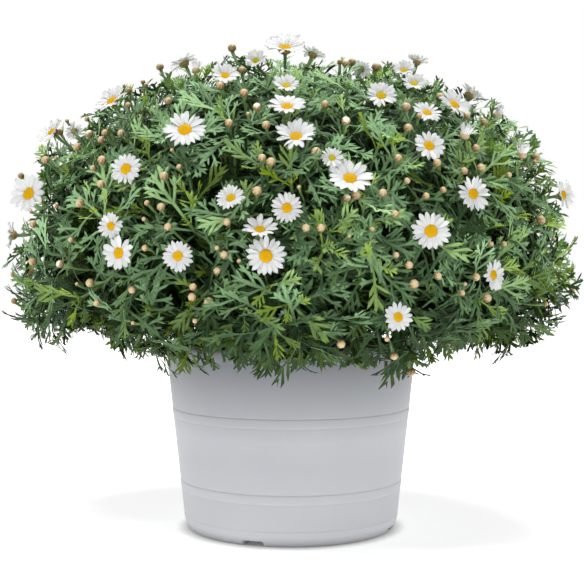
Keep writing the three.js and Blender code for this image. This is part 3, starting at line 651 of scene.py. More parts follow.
def draws(seed):  # the part's own seeded numbers, so that the back sprays stand where its solids do
    state = seed

    def wrap(v):
        return (v + 2**31) % 2**32 - 2**31

    def draw():
        nonlocal state
        state = wrap(state + 0x6D2B79F5)
        low = state & 0xFFFFFFFF
        mixed = wrap((low ^ (low >> 15)) * (1 | low))
        low = mixed & 0xFFFFFFFF
        mixed = wrap(mixed + wrap((low ^ (low >> 7)) * (61 | low))) ^ mixed
        low = mixed & 0xFFFFFFFF
        return ((low ^ (low >> 14)) & 0xFFFFFFFF) / 2**32

    return draw


def pictureFlower(spot):
    x, y, width, turn, tilt = spot[:5]
    more = spot[5] if len(spot) > 5 else {}
    place, scale = seenAt(x, y, more.get("back", 0))
    return {
        "place": place[0], "radius": width * scale[0] / 2, "way": facing(turn, tilt),
        "cup": more.get("cup", 0), "young": more.get("young", 0), "lift": more.get("lift", 0) * degree,
        "seen": more.get("back", 0) < 40,
    }


def sprayPlans():
    plans = []
    for spray in frontSprays:
        flowers = [pictureFlower(spot) for spot in spray if not isinstance(spot, str)]
        marks = [tuple(map(float, spot.split(","))) for spot in spray if isinstance(spot, str)]
        plans.append({"flowers": flowers, "buds": [seenAt(*mark)[0][0] for mark in marks]})
    s = backSprays
    random = draws(s["seed"])
    for i in range(s["count"]):
        turn = s["turns"][0] + s["turns"][1] * ((i * 0.618 + 0.05) % 1)
        angle = s["angles"][0] + s["angles"][1] * (i + 0.5) / s["count"]
        slant = s["slant"] / math.sin(angle * degree) ** 0.8

        def near(moreAngle, moreTurn):
            return domePoint((angle + moreAngle) * degree, (turn + moreTurn) * degree)

        spots = [near(0, 0), near(5 - 3 * random(), slant * (0.75 + 0.3 * random()))]
        flowers = []
        for n, (place, width) in enumerate(zip(spots, s["widths"])):
            way = unit(outwardAt(place) + [0, 0, 0.35 * random()])
            flowers.append({
                "place": place, "radius": (width + 4 * random()) / 2, "way": way, "cup": 0, "young": 0,
                "lift": 0.15 * n, "seen": False,
            })
        plans.append({"flowers": flowers, "buds": [near(-6, -0.45 * slant)]})
    return plans


def offSeam(turn, margin):
    sector = 2 * math.pi / boughs["sides"]
    cell = math.floor(turn / sector)
    return cell * sector + min(max(turn - cell * sector, margin), sector - margin)


def sprayFoot(flowers):  # on the core under the middle of the flowers, clear of the seams between boughs
    core, crown, seam = boughs["core"], boughs["crownRadius"], boughs["seam"]
    foot = np.mean([f["place"] for f in flowers], 0)
    outward = outwardAt(foot)
    while domeShare(foot) > core:
        foot = foot - 0.5 * outward
    r = math.hypot(foot[0], foot[1])
    if abs(r - crown) < seam:
        r = crown + (-seam if r < crown else seam)
    turn = math.atan2(foot[0], -foot[1])
    kept = turn if r < crown else offSeam(turn, seam / r)
    angle = min(float(angleAt(min(r, core * dome["radius"]), core)), 88 * degree)
    place = domePoint(angle, kept, core)
    if foot[2] < dome["middle"]:
        place[2] = foot[2]
    return place, outwardAt(place)


plans = sprayPlans()
allFlowers = [flower for plan in plans for flower in plan["flowers"]]
print("sprays:", len(plans), "flowers:", len(allFlowers))

# A bloom in its own measures: shares of its radius, with Z along its way
bloomShape = {
    "rayHalfWidth": 0.15, "stations": [0, 0.2, 0.45, 0.7, 0.9, 1],
    "width": [0.42, 0.66, 0.9, 1.0, 0.86, 0.48], "overlap": 0.012,
    # round a ray's section, over the top and back underneath: place across, notch of the tip, and ridges
    "across": [-1, -0.5, 0, 0.5, 1, 0.5, 0, -0.5], "under": [0, 0, 0, 0, 0, 1, 1, 1], "thick": 0.016,
    "notch": [-0.07, 0, -0.045, 0, -0.07, 0, -0.045, 0],
    "ridge": [0, 0.024, 0.004, 0.024, 0, 0.012, -0.006, 0.012],
    # rise and curl of the rays have a mean and a spread; lifted is how much the flower's lift adds to each
    "open": {
        "rays": (14, 21), "root": 0.2, "reach": (0.92, 1.05), "rise": (0.08, 0.08), "curl": (-0.16, 0.12),
        "lifted": (1.5, -0.9), "disc": 0.33, "stalkEnd": 0.3,
        "calyx": [(0.075, -0.34), (0.15, -0.3), (0.27, -0.21), (0.345, -0.1), (0.355, -0.02)],
    },
    "halfOpen": {
        "rays": 17, "root": 0.42, "reach": (1.35, 1.75), "rise": (0.98, 0.13), "curl": (0.24, 0.14),
        "lifted": (1, 0), "disc": 0.528, "stalkEnd": 0.85,
        "calyx": [(0.16, -0.66), (0.38, -0.6), (0.55, -0.42), (0.61, -0.2), (0.59, -0.02), (0.53, 0.1)],
    },
    "dome": 0.1, "florets": 72, "floretSize": (0.085, 0.125), "floretTall": (0.9, 1.25), "bracts": 10,
    "bed": [(1.0, -0.05), (1.02, 0.02), (0.9, 0.055), (0.66, 0.085), (0.36, 0.1)], "bedTip": 0.102,
}


def kindOf(flower):
    return bloomShape["halfOpen" if flower["cup"] else "open"]


def wheelAround(way, spin=0.0):  # two directions square to way
    spare = np.array([0.0, 0, 1]) if abs(way[2]) < 0.9 else np.array([1.0, 0, 0])
    across = unit(np.cross(spare, way))
    up = np.cross(way, across)
    return math.cos(spin) * across + math.sin(spin) * up, -math.sin(spin) * across + math.cos(spin) * up


# rays: a ring of 8 points at each station, ridged on both sides of a middle groove, with a notched tip
def rayShells(flower, random):
    s, kind = bloomShape, kindOf(flower)
    n = kind["rays"] if flower["cup"] else int(random.integers(*kind["rays"]))
    u = np.array(s["stations"])
    across, under, notch, ridge = (np.array(s[key]) for key in ("across", "under", "notch", "ridge"))
    reach = random.uniform(*kind["reach"], n)[:, None]
    lift = kind["lifted"][0] * flower["lift"] + random.normal(*kind["rise"], n)
    curl = kind["lifted"][1] * flower["lift"] + random.normal(*kind["curl"], n)
    slope = lift[:, None] + curl[:, None] * u
    step = np.diff(u, prepend=0) * (reach - kind["root"])
    out = kind["root"] + np.cumsum(step * np.cos(slope), 1)
    rise = np.cumsum(step * np.sin(slope), 1)
    wide = s["rayHalfWidth"] * np.array(s["width"]) * (16 / n) ** 0.8  # narrower where there are more rays
    wide = wide * random.uniform(0.86, 1.12, n)[:, None]
    tipped = smooth(0.7, 1.0, u)[None, :, None] * notch * random.uniform(0.5, 1.5, (n, 1, 1))
    ridge = ridge * np.sin(np.pi * np.clip(u, 0.05, 0.97))[:, None]
    sag = random.normal(0, 0.05, (n, 1, 1)) * across * u[:, None]
    out = out[..., None] + tipped * np.cos(slope)[..., None]
    side = wide[..., None] * across
    over = s["overlap"] * (np.arange(n) % 2)[:, None, None]  # every other ray lies over its neighbours
    high = rise[..., None] + ridge - under * s["thick"] + sag + over
    turn = (2 * np.pi * (np.arange(n) + random.uniform(-0.16, 0.16, n)) / n)[:, None, None]
    x = out * np.cos(turn) - side * np.sin(turn)
    y = out * np.sin(turn) + side * np.cos(turn)
    tone = toned(u[:, None], random.uniform(0, 1, (n, 1, 1)), across)
    rim = np.zeros((n, len(u), 8), bool)
    rim[:, :, [0, 4]] = True
    rim[:, [0, -1]] = True
    return shells(flower["radius"] * np.stack([x, y, high], -1), tone=tone, rim=rim.ravel(), look=0)


# disc: a flat dome under florets that stand on a golden-angle spiral, larger towards the rim
def discShells(flower, random):
    s, radius, young = bloomShape, flower["radius"], flower["young"]
    d = kindOf(flower)["disc"]
    share, height = np.array(s["bed"]).T[..., None]
    rings = spun(d * share, fullTurn(16), height)
    tone = toned(share, 0.5, 0.8 * young)
    bed = shells(radius * rings[None], radius * np.array([[0, 0, s["bedTip"]]]), tone=tone, look=1)
    n = s["florets"]
    share = np.sqrt((np.arange(n) + 0.5) / n)
    turn = np.arange(n) * goldenTurn
    foot = spun(d * share, turn, s["dome"] * (1 - share**2.4))
    lean = unit(spun(0.5 * share, turn, 1.0))
    size = d * blend(*s["floretSize"], share) * random.uniform(0.85, 1.15, n)
    corner = np.array([[1, 0, 0], [0, 1, 0], [-1, 0, 0], [0, -1, 0]])
    ring = foot[:, None] + size[:, None, None] * corner - 0.3 * size[:, None, None] * lean[:, None]
    tip = foot + (blend(*s["floretTall"], share) * size)[:, None] * lean
    green = np.clip(young * (1.3 - share) + 0.35 * (share < 0.33), 0, 1)
    tone = toned(share, random.uniform(0, 1, n), green)[:, None, None]
    return [bed, shells(radius * ring[:, None], radius * tip, tone=tone, look=1)]


# calyx: a cup of rings whose radius swells at each bract
def calyxShells(flower):
    r, z = np.array(kindOf(flower)["calyx"]).T[..., None]
    row, turns = np.arange(len(r))[:, None], fullTurn(20)
    bracts = bloomShape["bracts"] * turns
    rings = spun(r * (1 + 0.05 * np.cos(bracts + row * np.pi)), turns, z)
    pale = smooth(-1.4, 0.0, z) if flower["cup"] else 0.35
    tone = toned(pale, 0.35 + 0.3 * np.cos(bracts + row // 2 * np.pi), 0)
    return shells(flower["radius"] * rings[None], tone=tone, look=2)


def placed(part, place, way, spin):  # a part in its own frame, Z along way, moved to its place
    across, up = wheelAround(way, spin)
    part["points"] = place + part["points"] @ np.stack([across, up, way])
    return part


# a bud's globe, and its stalk: how thick it is, and how much of the bud's radius its neck adds
budShape = {
    "sides": 12, "rings": 7, "bracts": 6, "tall": 0.94, "swell": 0.035, "stations": 7, "stalkSides": 5,
    "stalk": 0.7, "neck": 0.25,
}


# buds: globes in overlapping rows of bracts, rings (b, k, n) round each bud's way
def budShells(places, ways, radii, whites, random, look):
    s = budShape
    height = np.linspace(0.1, 0.93, s["rings"]) * np.pi
    turns = fullTurn(s["sides"])
    row = np.arange(s["rings"])[:, None]
    swell = np.cos(s["bracts"] * turns + row // 2 * np.pi)
    r = np.sin(height)[:, None] * (1 + s["swell"] * swell)
    z = -np.cos(height)[:, None] * s["tall"]
    spins = random.uniform(0, 2 * np.pi, len(places))
    frames = np.array([np.stack([*wheelAround(w, a), w]) for w, a in zip(ways, spins)])
    turned = np.einsum("knc,bcd->bknd", spun(r, turns, z), frames)
    rings = places[:, None, None] + radii[:, None, None, None] * turned
    tips = places + 0.93 * radii[:, None] * ways
    edge = np.clip(0.55 - 0.45 * swell + 0.5 * (row % 2), 0, 1) * smooth(1.02, 0.3, z)
    tone = toned(0.5 + 0.5 * z, edge, whites[:, None, None] * smooth(0.45, 0.75, z))
    return shells(rings, tips, tone=tone, look=look)


def budStalks(places, ways, radii, feet, outward, random, look):
    s = budShape
    ends = places - 0.86 * radii[:, None] * ways
    paths = arcs(feet, outward, ends, ways, s["stations"])
    u = np.linspace(0, 1, s["stations"])
    thick = s["stalk"] + s["neck"] * radii[:, None] * smooth(0.6, 1.0, u) ** 3
    tone = toned(0, random.uniform(0, 1, (len(places), 1, 1)), 0)
    return tubes(paths, thick, s["stalkSides"], tone=tone, look=look)


# how a spray stands: its stalks' size, how deep they and the bud's stalk are sunk in the core, and its bud
sprayShape = {
    "stations": 12, "sides": 7, "thick": (1.35, 1.05), "collar": 0.5, "sunk": 8, "budSunk": 4,
    "bud": (2.7, 3.4), "budUp": 0.25, "budWild": 0.12,
}
sprayLooks = [looks[key] for key in ("petal", "disc", "bud", "stalk")]


def makeSpray(number, plan):
    s = sprayShape
    random = np.random.default_rng(100 + number)
    foot, way = sprayFoot(plan["flowers"])
    thick = np.linspace(*s["thick"], s["stations"])
    thick += s["collar"] * smooth(0.85, 1.0, np.linspace(0, 1, s["stations"]))
    parts = []
    for flower in plan["flowers"]:
        spin = random.uniform(0, 2 * np.pi)
        head = [rayShells(flower, random), *discShells(flower, random), calyxShells(flower)]
        parts += [placed(part, flower["place"], flower["way"], spin) for part in head]
        end = flower["place"] - kindOf(flower)["stalkEnd"] * flower["radius"] * flower["way"]
        start = foot - s["sunk"] * way
        path = arcs(start[None], way[None], end[None], flower["way"][None], s["stations"])
        tone = toned(0, random.uniform(0, 1), 0)
        parts.append(tubes(path, thick, s["sides"], tone=tone, look=3))
    for bud in plan["buds"]:
        out = unit(outwardAt(bud) + [0, 0, s["budUp"]] + random.normal(0, s["budWild"], 3))[None]
        size = random.uniform(*s["bud"], 1)
        parts.append(budShells(bud[None], out, size, np.zeros(1), random, 2))
        parts.append(budStalks(bud[None], out, size, foot[None] - s["budSunk"] * way, way[None], random, 3))
    node = f"spray_{number:02d}"
    addPiece(f"{node}_flowers", parts, sprayLooks, [node])


for number, plan in enumerate(plans, 1):
    makeSpray(number, plan)
print("flowers made")


def boughOf(places):  # 0 is the crown, and 1 to 8 go round to the right from the front
    r = np.hypot(places[:, 0], places[:, 1])
    sector = (turnOf(places) % (2 * np.pi) * boughs["sides"] / (2 * np.pi)).astype(int)
    return np.where(r < boughs["crownRadius"] / boughs["core"], 0, 1 + sector % boughs["sides"])


# Buds that stand between the sprays, in one piece for each bough; turns run from the first over the second
looseBudShape = {
    "behind": 70, "turns": (95, 170), "share": (0.99, 1.03), "size": (1.4, 1.9), "up": 0.3, "wild": 0.2,
    "whites": 0.1, "sunk": (24, 36), "footWild": 5, "seed": 21,
}


def makeLooseBuds():
    s = looseBudShape
    random = np.random.default_rng(s["seed"])
    marks = looseBuds.split()
    x, y = np.array([mark.rstrip("w").split(",") for mark in marks], float).T
    i = np.arange(s["behind"])
    angle = np.arccos(1 - 1.25 * (i + 0.5) / s["behind"])
    turn = (s["turns"][0] + s["turns"][1] * ((i * 0.618) % 1)) * degree
    back = domePoint(angle, turn, random.uniform(*s["share"], s["behind"]))
    places = np.concatenate([seenAt(x, y)[0], back])
    radii = s["size"][0] + s["size"][1] * random.uniform(0, 1, len(places))
    outward = outwardAt(places)
    ways = unit(outward + [0, 0, s["up"]] + random.normal(0, s["wild"], places.shape))
    opening = [mark.endswith("w") for mark in marks]
    whites = np.concatenate([opening, random.uniform(0, 1, s["behind"]) < s["whites"]]).astype(float)
    feet = places - outward * random.uniform(*s["sunk"], (len(places), 1))
    feet = feet + random.normal(0, s["footWild"], feet.shape)
    home = boughOf(places)
    for k, name in enumerate(boughNames):
        own = home == k
        which = (places[own], ways[own], radii[own])
        parts = [budShells(*which, whites[own], random, 0)]
        parts.append(budStalks(*which, feet[own], outward[own], random, 1))
        addPiece(f"{name}_buds", parts, [looks["bud"], looks["stalk"]])
    print("loose buds:", len(places))
    return places


budPlaces = makeLooseBuds()


# A cut leaf in shares of its length: a flat strap along s with narrow lobes at both sides, each a strip of
# three-point sections (left edge, ridge, right edge) that ends in a point
def leafStrips(starts, heading, length, curl, widths, stations, thick):
    u = np.array(stations)
    angle = heading[:, None] + curl[:, None] * u
    step = np.diff(u, prepend=0) * length[:, None]
    middle = starts[:, None] + np.cumsum(step[..., None] * flatWay(angle), 1)
    side = np.stack([-np.sin(angle), np.cos(angle)], -1) * widths[..., None]
    rings = np.zeros((len(starts), len(u), 3, 3))
    rings[..., :2] = middle[:, :, None] + np.array([1, 0, -1])[:, None] * side[:, :, None]
    rings[:, :, 1, 2] = thick
    tone = toned(0, 0, np.array([0, 1, 0]))
    return shells(rings[:, :-1], rings[:, -1, 1] - [0, 0, thick], tone=tone)


leafShape = {
    "strap": [0.018, 0.021, 0.026, 0.032, 0.03, 0.0], "strapStations": [0, 0.3, 0.5, 0.72, 0.9, 1],
    "pairs": [0.4, 0.6], "apart": 0.08, "lobeLength": 0.36, "lobeHalfWidth": 0.024, "youngWider": 1.25,
    "lobe": [0.75, 0.95, 1.15, 0.0], "lobeStations": [0, 0.45, 0.86, 1], "plainStations": [0, 0.7, 1],
    "lobeAngle": 0.8, "lobeCurl": 0.28, "thick": 0.011, "fold": 0.3, "ripple": 0.025,
    # teeth: the strap's own two (place, angle, length), then where and how long the lobes' teeth are
    "tipTeeth": [(0.8, 0.6, 0.19), (0.84, -0.6, 0.17)],
    "toothAt": 0.52, "teeth": (0.46, 0.38), "toothTurn": 0.66,
    "variants": {"grown": 10, "young": 3, "plain": 10}, "seed": 8,
}


def makeLeaf(random, kind):
    s = leafShape
    wider = s["youngWider"] if kind == "young" else 1.0
    parts = [leafStrips(
        np.zeros((1, 2)), random.normal(0, 0.03, 1), np.ones(1), random.normal(0, 0.14, 1),
        wider * np.array([s["strap"]]), s["strapStations"], s["thick"],
    )]
    pairs = np.array(s["pairs"])
    at = np.concatenate([pairs, pairs + s["apart"]])
    n = len(at)
    at = at + random.normal(0, 0.025, n)
    length = s["lobeLength"] * random.uniform(0.7, 1.2, n)
    side = np.repeat([1.0, -1.0], n // 2) * random.choice([-1, 1])
    heading = side * random.normal(s["lobeAngle"], 0.13, n)
    curl = -side * random.normal(s["lobeCurl"], 0.22, n)
    start = np.stack([at, 0 * at], -1)
    wide = s["lobeHalfWidth"] * wider
    widths = wide * np.array([s["lobe"]]) * random.uniform(0.85, 1.15, (n, 1))
    lobe = (widths, s["lobeStations"]) if kind == "grown" else (widths[:, 1:], s["plainStations"])
    parts.append(leafStrips(start, heading, length, curl, *lobe, s["thick"]))
    # teeth on the lobes and on both sides of the strap's tip
    near = heading + curl * s["toothAt"]
    half = heading + 0.5 * curl * s["toothAt"]
    middle = start + flatWay(half) * (s["toothAt"] * length)[:, None]
    flip = random.choice([-1, 1], n)
    place, angle, size = np.array(s["tipTeeth"]).T
    teeth = [(np.stack([place, 0 * place], -1), angle, size)]
    if kind != "young":
        teeth.append((middle, near + s["toothTurn"] * flip, s["teeth"][0] * length))
    if kind == "grown":
        late = middle + flatWay(near) * (0.2 * length)[:, None]
        teeth.append((late, near - s["toothTurn"] * flip, s["teeth"][1] * length))
    for k, (starts, angle, size) in enumerate(teeth):
        blunt = kind == "grown" and k < 2
        stations = [0, 0.7, 1] if blunt else [0, 1]
        widths = wide * np.array([[0.85, 0.8, 0.0] if blunt else [0.85, 0.0]]) * np.ones((len(starts), 1))
        parts.append(leafStrips(starts, angle, size, 0 * angle, widths, stations, 0.8 * s["thick"]))
    return parts


def foldLeaf(parts):  # one template of its strips: h + fold |x| + ripple sin(9s + 4x)
    offsets = np.cumsum([0] + [len(p["points"]) for p in parts])
    points = np.concatenate([p["points"] for p in parts])
    ripple = leafShape["ripple"] * np.sin(9 * points[:, 0] + 4 * points[:, 1])
    points[:, 2] += leafShape["fold"] * np.abs(points[:, 1]) + ripple
    faces = [f + o for p, o in zip(parts, offsets) for f in p["faces"]]
    return {"points": points, "faces": faces, "rib": np.concatenate([p["tone"] for p in parts])[:, 2]}


leafRandom = np.random.default_rng(leafShape["seed"])
templates = {
    kind: [foldLeaf(makeLeaf(leafRandom, kind)) for _ in range(count)]
    for kind, count in leafShape["variants"].items()
}

# The shoots: tips spread evenly over the dome, each with young leaves in the middle and grown ones round it
shootPlan = {
    "count": 448, "lowest": 126, "share": (0.91, 0.985), "innerShare": (0.76, 0.87), "inner": 0.42,
    "drooping": 46, "droopShare": (0.74, 0.94), "droopAngles": (110, 133), "seed": 17,
    # a shoot's axis is the dome's slope, turned from the fork, up on top, down over the rim, and at random
    "fan": 0.35, "up": 0.4, "upFrom": (165, 260), "down": 0.8, "downTo": (155, 215), "sink": 0.1,
    "wild": 0.16,
    # its stalk: where it starts as a share of the dome, and its size
    "foot": 0.66, "footIn": 0.8, "stations": 7, "sides": 5, "thick": (2.0, 1.1),
}


def shootTips():  # even over the dome's area: the running area of its profile, read backwards
    s = shootPlan
    random = np.random.default_rng(s["seed"])
    grid = np.linspace(0.02, s["lowest"] * degree, 600)
    line = domePoint(grid, 0 * grid)
    area = np.cumsum(-line[:, 1] * np.linalg.norm(np.gradient(line, axis=0), axis=1))
    n, more = s["count"], s["drooping"]
    i = np.arange(n)
    angle = np.interp((i + 0.5 + random.uniform(-0.3, 0.3, n)) / n, area / area[-1], grid)
    turn = (i * goldenTurn + random.normal(0, 0.05, n)) % (2 * np.pi)
    under = random.uniform(0, 1, n) < s["inner"]
    share = np.where(under, random.uniform(*s["innerShare"], n), random.uniform(*s["share"], n))
    # more shoots over the pot's rim, whose leaves hang in front of it
    angle = np.concatenate([angle, random.uniform(*s["droopAngles"], more) * degree])
    share = np.concatenate([share, random.uniform(*s["droopShare"], more)])
    turn = np.concatenate([turn, (np.arange(more) * goldenTurn) % (2 * np.pi)])
    tips = domePoint(angle, turn, share)
    z = tips[:, 2]
    lift = s["up"] * smooth(*s["upFrom"], z) - s["sink"] - s["down"] * (1 - smooth(*s["downTo"], z))
    axes = outwardAt(tips) + s["fan"] * unit(tips - [0, 0, boughs["fork"]]) + lift[:, None] * [0, 0, 1]
    return tips, unit(axes + random.normal(0, s["wild"], tips.shape)), random


# the leaves of a shoot: spans run from its first leaf to its last; youth and chance colour them
leafPlan = {
    "each": 14, "young": 5, "back": (2, 16), "lean": (14, 72), "length": (38, 52), "topLength": (33, 43),
    "topFrom": (250, 330), "youngLength": 0.26, "bend": (0.15, 0.6), "youth": (0.15, 0.9), "chance": 0.46,
}


def shootLeaves(tips, axes, random):
    s = leafPlan
    count, each = len(tips), s["each"]
    i = np.arange(each)
    t = i / (each - 1)
    spare = np.where(np.abs(axes[:, 2:]) < 0.9, [[0.0, 0, 1]], [[1.0, 0, 0]])
    across = unit(np.cross(spare, axes))
    up = np.cross(axes, across)
    spin = random.uniform(0, 2 * np.pi, (count, 1)) + i * goldenTurn + random.normal(0, 0.15, (count, each))
    level = np.cos(spin)[..., None] * across[:, None] + np.sin(spin)[..., None] * up[:, None]
    axis = np.broadcast_to(axes[:, None], level.shape)
    lean = (s["lean"][0] + s["lean"][1] * t**0.6) * degree + random.normal(0, 0.13, (count, each))
    sine, cosine = np.sin(lean)[..., None], np.cos(lean)[..., None]
    roots = tips[:, None] - axis * (s["back"][0] + (s["back"][1] - s["back"][0]) * t**1.3)[:, None]
    upper = smooth(*s["topFrom"], tips[:, 2])
    full = blend(random.uniform(*s["length"], count), random.uniform(*s["topLength"], count), upper)
    young = np.clip(i / s["young"], 0, 1)
    length = full[:, None] * blend(s["youngLength"], 1.0, young**1.1)
    length = length * random.uniform(0.86, 1.1, (count, each))
    bend = blend(*s["bend"], t) + random.normal(0, 0.14, (count, each))
    youth = np.clip(1.25 - i / s["young"], 0, 1) * random.uniform(*s["youth"], (count, 1))
    chance = random.normal(s["chance"], 0.2, (count, 1)) + random.normal(0, 0.16, (count, each))
    plain = np.where(domeShare(tips) < shootPlan["share"][0] - 0.01, 2, 0)[:, None]
    home = np.broadcast_to(boughOf(tips)[:, None], (count, each))
    ways = {"root": roots, "along": cosine * axis + sine * level, "face": sine * axis - cosine * level}
    leaves = {key: value.reshape(-1, 3) for key, value in ways.items()}
    values = {"length": length, "bend": bend, "youth": youth, "chance": np.clip(chance, 0, 1), "home": home}
    values["kind"] = np.where(i < s["young"], 1, plain)
    return {**leaves, **{key: value.reshape(-1) for key, value in values.items()}}


# Bends points given in a leaf's shares (s, x, h): s runs along an arc that turns away from the face by bend
def onLeaf(leaves, shape):
    angle = leaves["bend"][:, None] * shape[:, 0]
    straight = leaves["bend"][:, None] + 1e-6
    along, face = leaves["along"][:, None], leaves["face"][:, None]
    side = np.cross(leaves["face"], leaves["along"])[:, None]
    s, c = np.sin(angle)[..., None], np.cos(angle)[..., None]
    arc = along * s / straight[..., None] - face * (1 - c) / straight[..., None]
    normal = face * c + along * s
    place = arc + side * shape[:, 1][:, None] + normal * shape[:, 2][:, None]
    return leaves["root"][:, None] + leaves["length"][:, None, None] * place


# points on a leaf, in its shares, that say whether it is clear of everything
leafMarks = np.array([
    [0.4, 0, 0], [0.6, 0, 0], [0.7, 0.18, 0], [0.7, -0.18, 0], [0.86, 0.15, 0], [0.86, -0.15, 0], [1, 0, 0],
])

# how low the leaves hang: picture points on the front's lower edge, and height by turn on the back
hem = {
    "across": [
        0, 20, 40, 80, 90, 104, 114, 150, 172, 200, 245, 295, 306, 345, 355, 366, 378, 390, 402, 426, 440,
        450, 474, 486, 500, 512, 524, 545, 558, 572, 584,
    ],
    "down": [
        300, 318, 334, 334, 320, 330, 362, 356, 374, 374, 385, 382, 368, 369, 377, 366, 399, 401, 383,
        391, 383, 350, 358, 352, 365, 364, 350, 338, 347, 332, 308,
    ],
    "backTurns": [95, 110, 130, 150, 180], "back": [162, 158, 150, 138, 130],
    "ragged": 6, "shortest": 0.3, "leastDrop": 5, "leastLength": 18,
}


def hemAt(places):
    away = sight["distance"] + places[..., 1]
    x = sight["axis"] + sight["focal"] * places[..., 0] / away
    y = np.interp(x, hem["across"], hem["down"])
    front = sight["height"] - (y - sight["horizon"]) * away / sight["focal"]
    turn = np.abs(turnOf(places)) / degree
    return np.where(turn < hem["backTurns"][0], front, np.interp(turn, hem["backTurns"], hem["back"]))


# a leaf that would hang under the hem is made shorter: by (root - hem) / (root - lowest point)
def trimToHem(leaves, random):
    spots = onLeaf(leaves, leafMarks)
    ragged = random.normal(0, hem["ragged"], len(spots))
    drop = leaves["root"][:, 2] - spots[..., 2].min(1)
    room = leaves["root"][:, 2] - hemAt(spots).max(1) - ragged
    shorter = np.clip(room / np.maximum(drop, hem["leastDrop"]), hem["shortest"], 1)
    leaves["length"] = leaves["length"] * np.where(drop > hem["leastDrop"], shorter, 1)
    return leaves["length"] > hem["leastLength"]


# where no leaf may be: past the dome or the hem, at the pot's lip, between two heights over a flower or a bud
clearance = {
    "reach": 1.05, "raised": 158, "hem": 12, "lip": (1.5, 2), "flower": (-4, 30), "flowerMore": 1,
    "seen": 0.95, "bud": (-2, 60), "budWidth": 4.5, "frontTo": 60,
}


def alongAndOff(spots, place, line):  # how far spots lie along a line from place, and how far beside it
    rel = spots - place
    along = rel @ line
    return along, np.sqrt(np.maximum((rel**2).sum(-1) - along**2, 0))


# a leaf is left out where it would cover a flower or a bud, hide one from the front, or touch the pot's lip
def clearOfFlowers(leaves):
    s = clearance
    spots = onLeaf(leaves, leafMarks)
    r, z = np.hypot(spots[..., 0], spots[..., 1]), spots[..., 2]
    # lower down the hem is the limit, so the dome is asked about raised spots
    raised = spots * [1, 1, 0] + np.maximum(z, s["raised"])[..., None] * [0, 0, 1]
    blocked = (z < hemAt(spots) - s["hem"]) | (domeShare(raised) > s["reach"])
    blocked |= (r < potSize["lipRadius"] + s["lip"][0]) & (z < potSize["height"] + s["lip"][1])
    for flower in allFlowers:
        place, radius = flower["place"], flower["radius"]
        high, wide = alongAndOff(spots, place, flower["way"])
        blocked |= (high > s["flower"][0]) & (high < s["flower"][1]) & (wide < radius + s["flowerMore"])
        if flower["seen"]:
            near, off = alongAndOff(spots, place, unit(eye - place))
            blocked |= (near > 0) & (off < s["seen"] * radius)
    for place in [*budPlaces, *(bud for plan in plans for bud in plan["buds"])]:
        line = unit(eye - place) if place[1] < s["frontTo"] else outwardAt(place)
        near, off = alongAndOff(spots, place, line)
        blocked |= (near > s["bud"][0]) & (near < s["bud"][1]) & (off < s["budWidth"])
    return ~blocked.any(1)


def takeLeaves(leaves, which):
    return {key: value[which] for key, value in leaves.items()}


# painted shade: leaves darken inside the bush and where they hang low: between which shares and heights, and
# by how much
paintedLeafShade = {"share": (0.82, 1.0), "height": (130, 250), "chance": (0.02, 1.3), "youth": (0.35, 1.0)}


def leafPart(leaves, template):
    points = onLeaf(leaves, template["points"])
    n, each = points.shape[:2]
    # painted shade: deeper in the bush and lower down, youth and chance fall, so leaves turn to the dark old
    # colour
    depth = smooth(*paintedLeafShade["share"], domeShare(points)) * smooth(*paintedLeafShade["height"], points[..., 2])
    youth, chance = (leaves[key][:, None] * blend(*paintedLeafShade[key], depth) for key in ("youth", "chance"))
    first = np.arange(n)[:, None, None] * each
    faces = [(f + first).reshape(-1, f.shape[1]) for f in template["faces"]]
    tone = toned(youth, chance, template["rib"]).reshape(-1, 3)
    return {"points": points.reshape(-1, 3), "faces": faces, "tone": tone, "smooth": False}


def makeBoughs():
    s = shootPlan
    tips, axes, random = shootTips()
    leaves = shootLeaves(tips, axes, random)
    clear = trimToHem(leaves, random) | (leaves["kind"] == 1)
    clear &= clearOfFlowers(leaves)
    print("leaves:", int(clear.sum()), "of", len(clear))
    leaves = takeLeaves(leaves, clear)
    pick = random.integers(0, 1000, len(leaves["bend"]))
    shootHome = boughOf(tips)
    wood = np.linspace(1.0, 0.0, s["stations"])[:, None] ** 1.5
    for k, name in enumerate(boughNames):
        parts = []
        for kind, shapes in enumerate(templates.values()):
            for v, template in enumerate(shapes):
                own = (leaves["home"] == k) & (leaves["kind"] == kind) & (pick % len(shapes) == v)
                if own.any():
                    parts.append(leafPart(takeLeaves(leaves, own), template))
        tip, axis = tips[shootHome == k], axes[shootHome == k]
        r = np.hypot(tip[:, 0], tip[:, 1]) * s["footIn"]
        feet = domePoint(np.minimum(angleAt(r, s["foot"]), 85 * degree), turnOf(tip), s["foot"])
        paths = arcs(feet, unit(tip - [0, 0, boughs["fork"]]), tip, axis, s["stations"])
        tone = toned(wood, random.uniform(0, 0.6, (len(tip), 1, 1)), 0)
        thick = np.linspace(*s["thick"], s["stations"])
        parts.append(tubes(paths, thick, s["sides"], tone=tone, look=1))
        piece = addPiece(f"{name}_leaves", parts, [looks["leaf"], looks["stalk"]], [name])
        print(name, "faces:", len(piece.data.polygons))


makeBoughs()

# Painted shade inside the bush: a near-black rough shell in place of the shaded inner shoots, which closes
# the view into the bush, open underneath round the trunk
shadeShell = {"share": 0.74, "inside": 0.68, "rough": 0.05, "columns": 84, "rows": 32, "skirt": 118, "seed": 4}


def makeShadeShell():
    s = shadeShell
    random = np.random.default_rng(s["seed"])
    turns = fullTurn(s["columns"])
    down = np.linspace(3, s["skirt"], s["rows"])[:, None] * degree
    outer = s["share"] + random.uniform(-s["rough"], s["rough"], (s["rows"], s["columns"]))
    rings = [domePoint(down, turns, outer), domePoint(down[::-2], turns, s["inside"])]
    addPiece("inner_shade_shell", [shells(np.concatenate(rings)[None], smooth=False)], [looks["shadeShell"]])
    print("inner shoots made")


makeShadeShell()

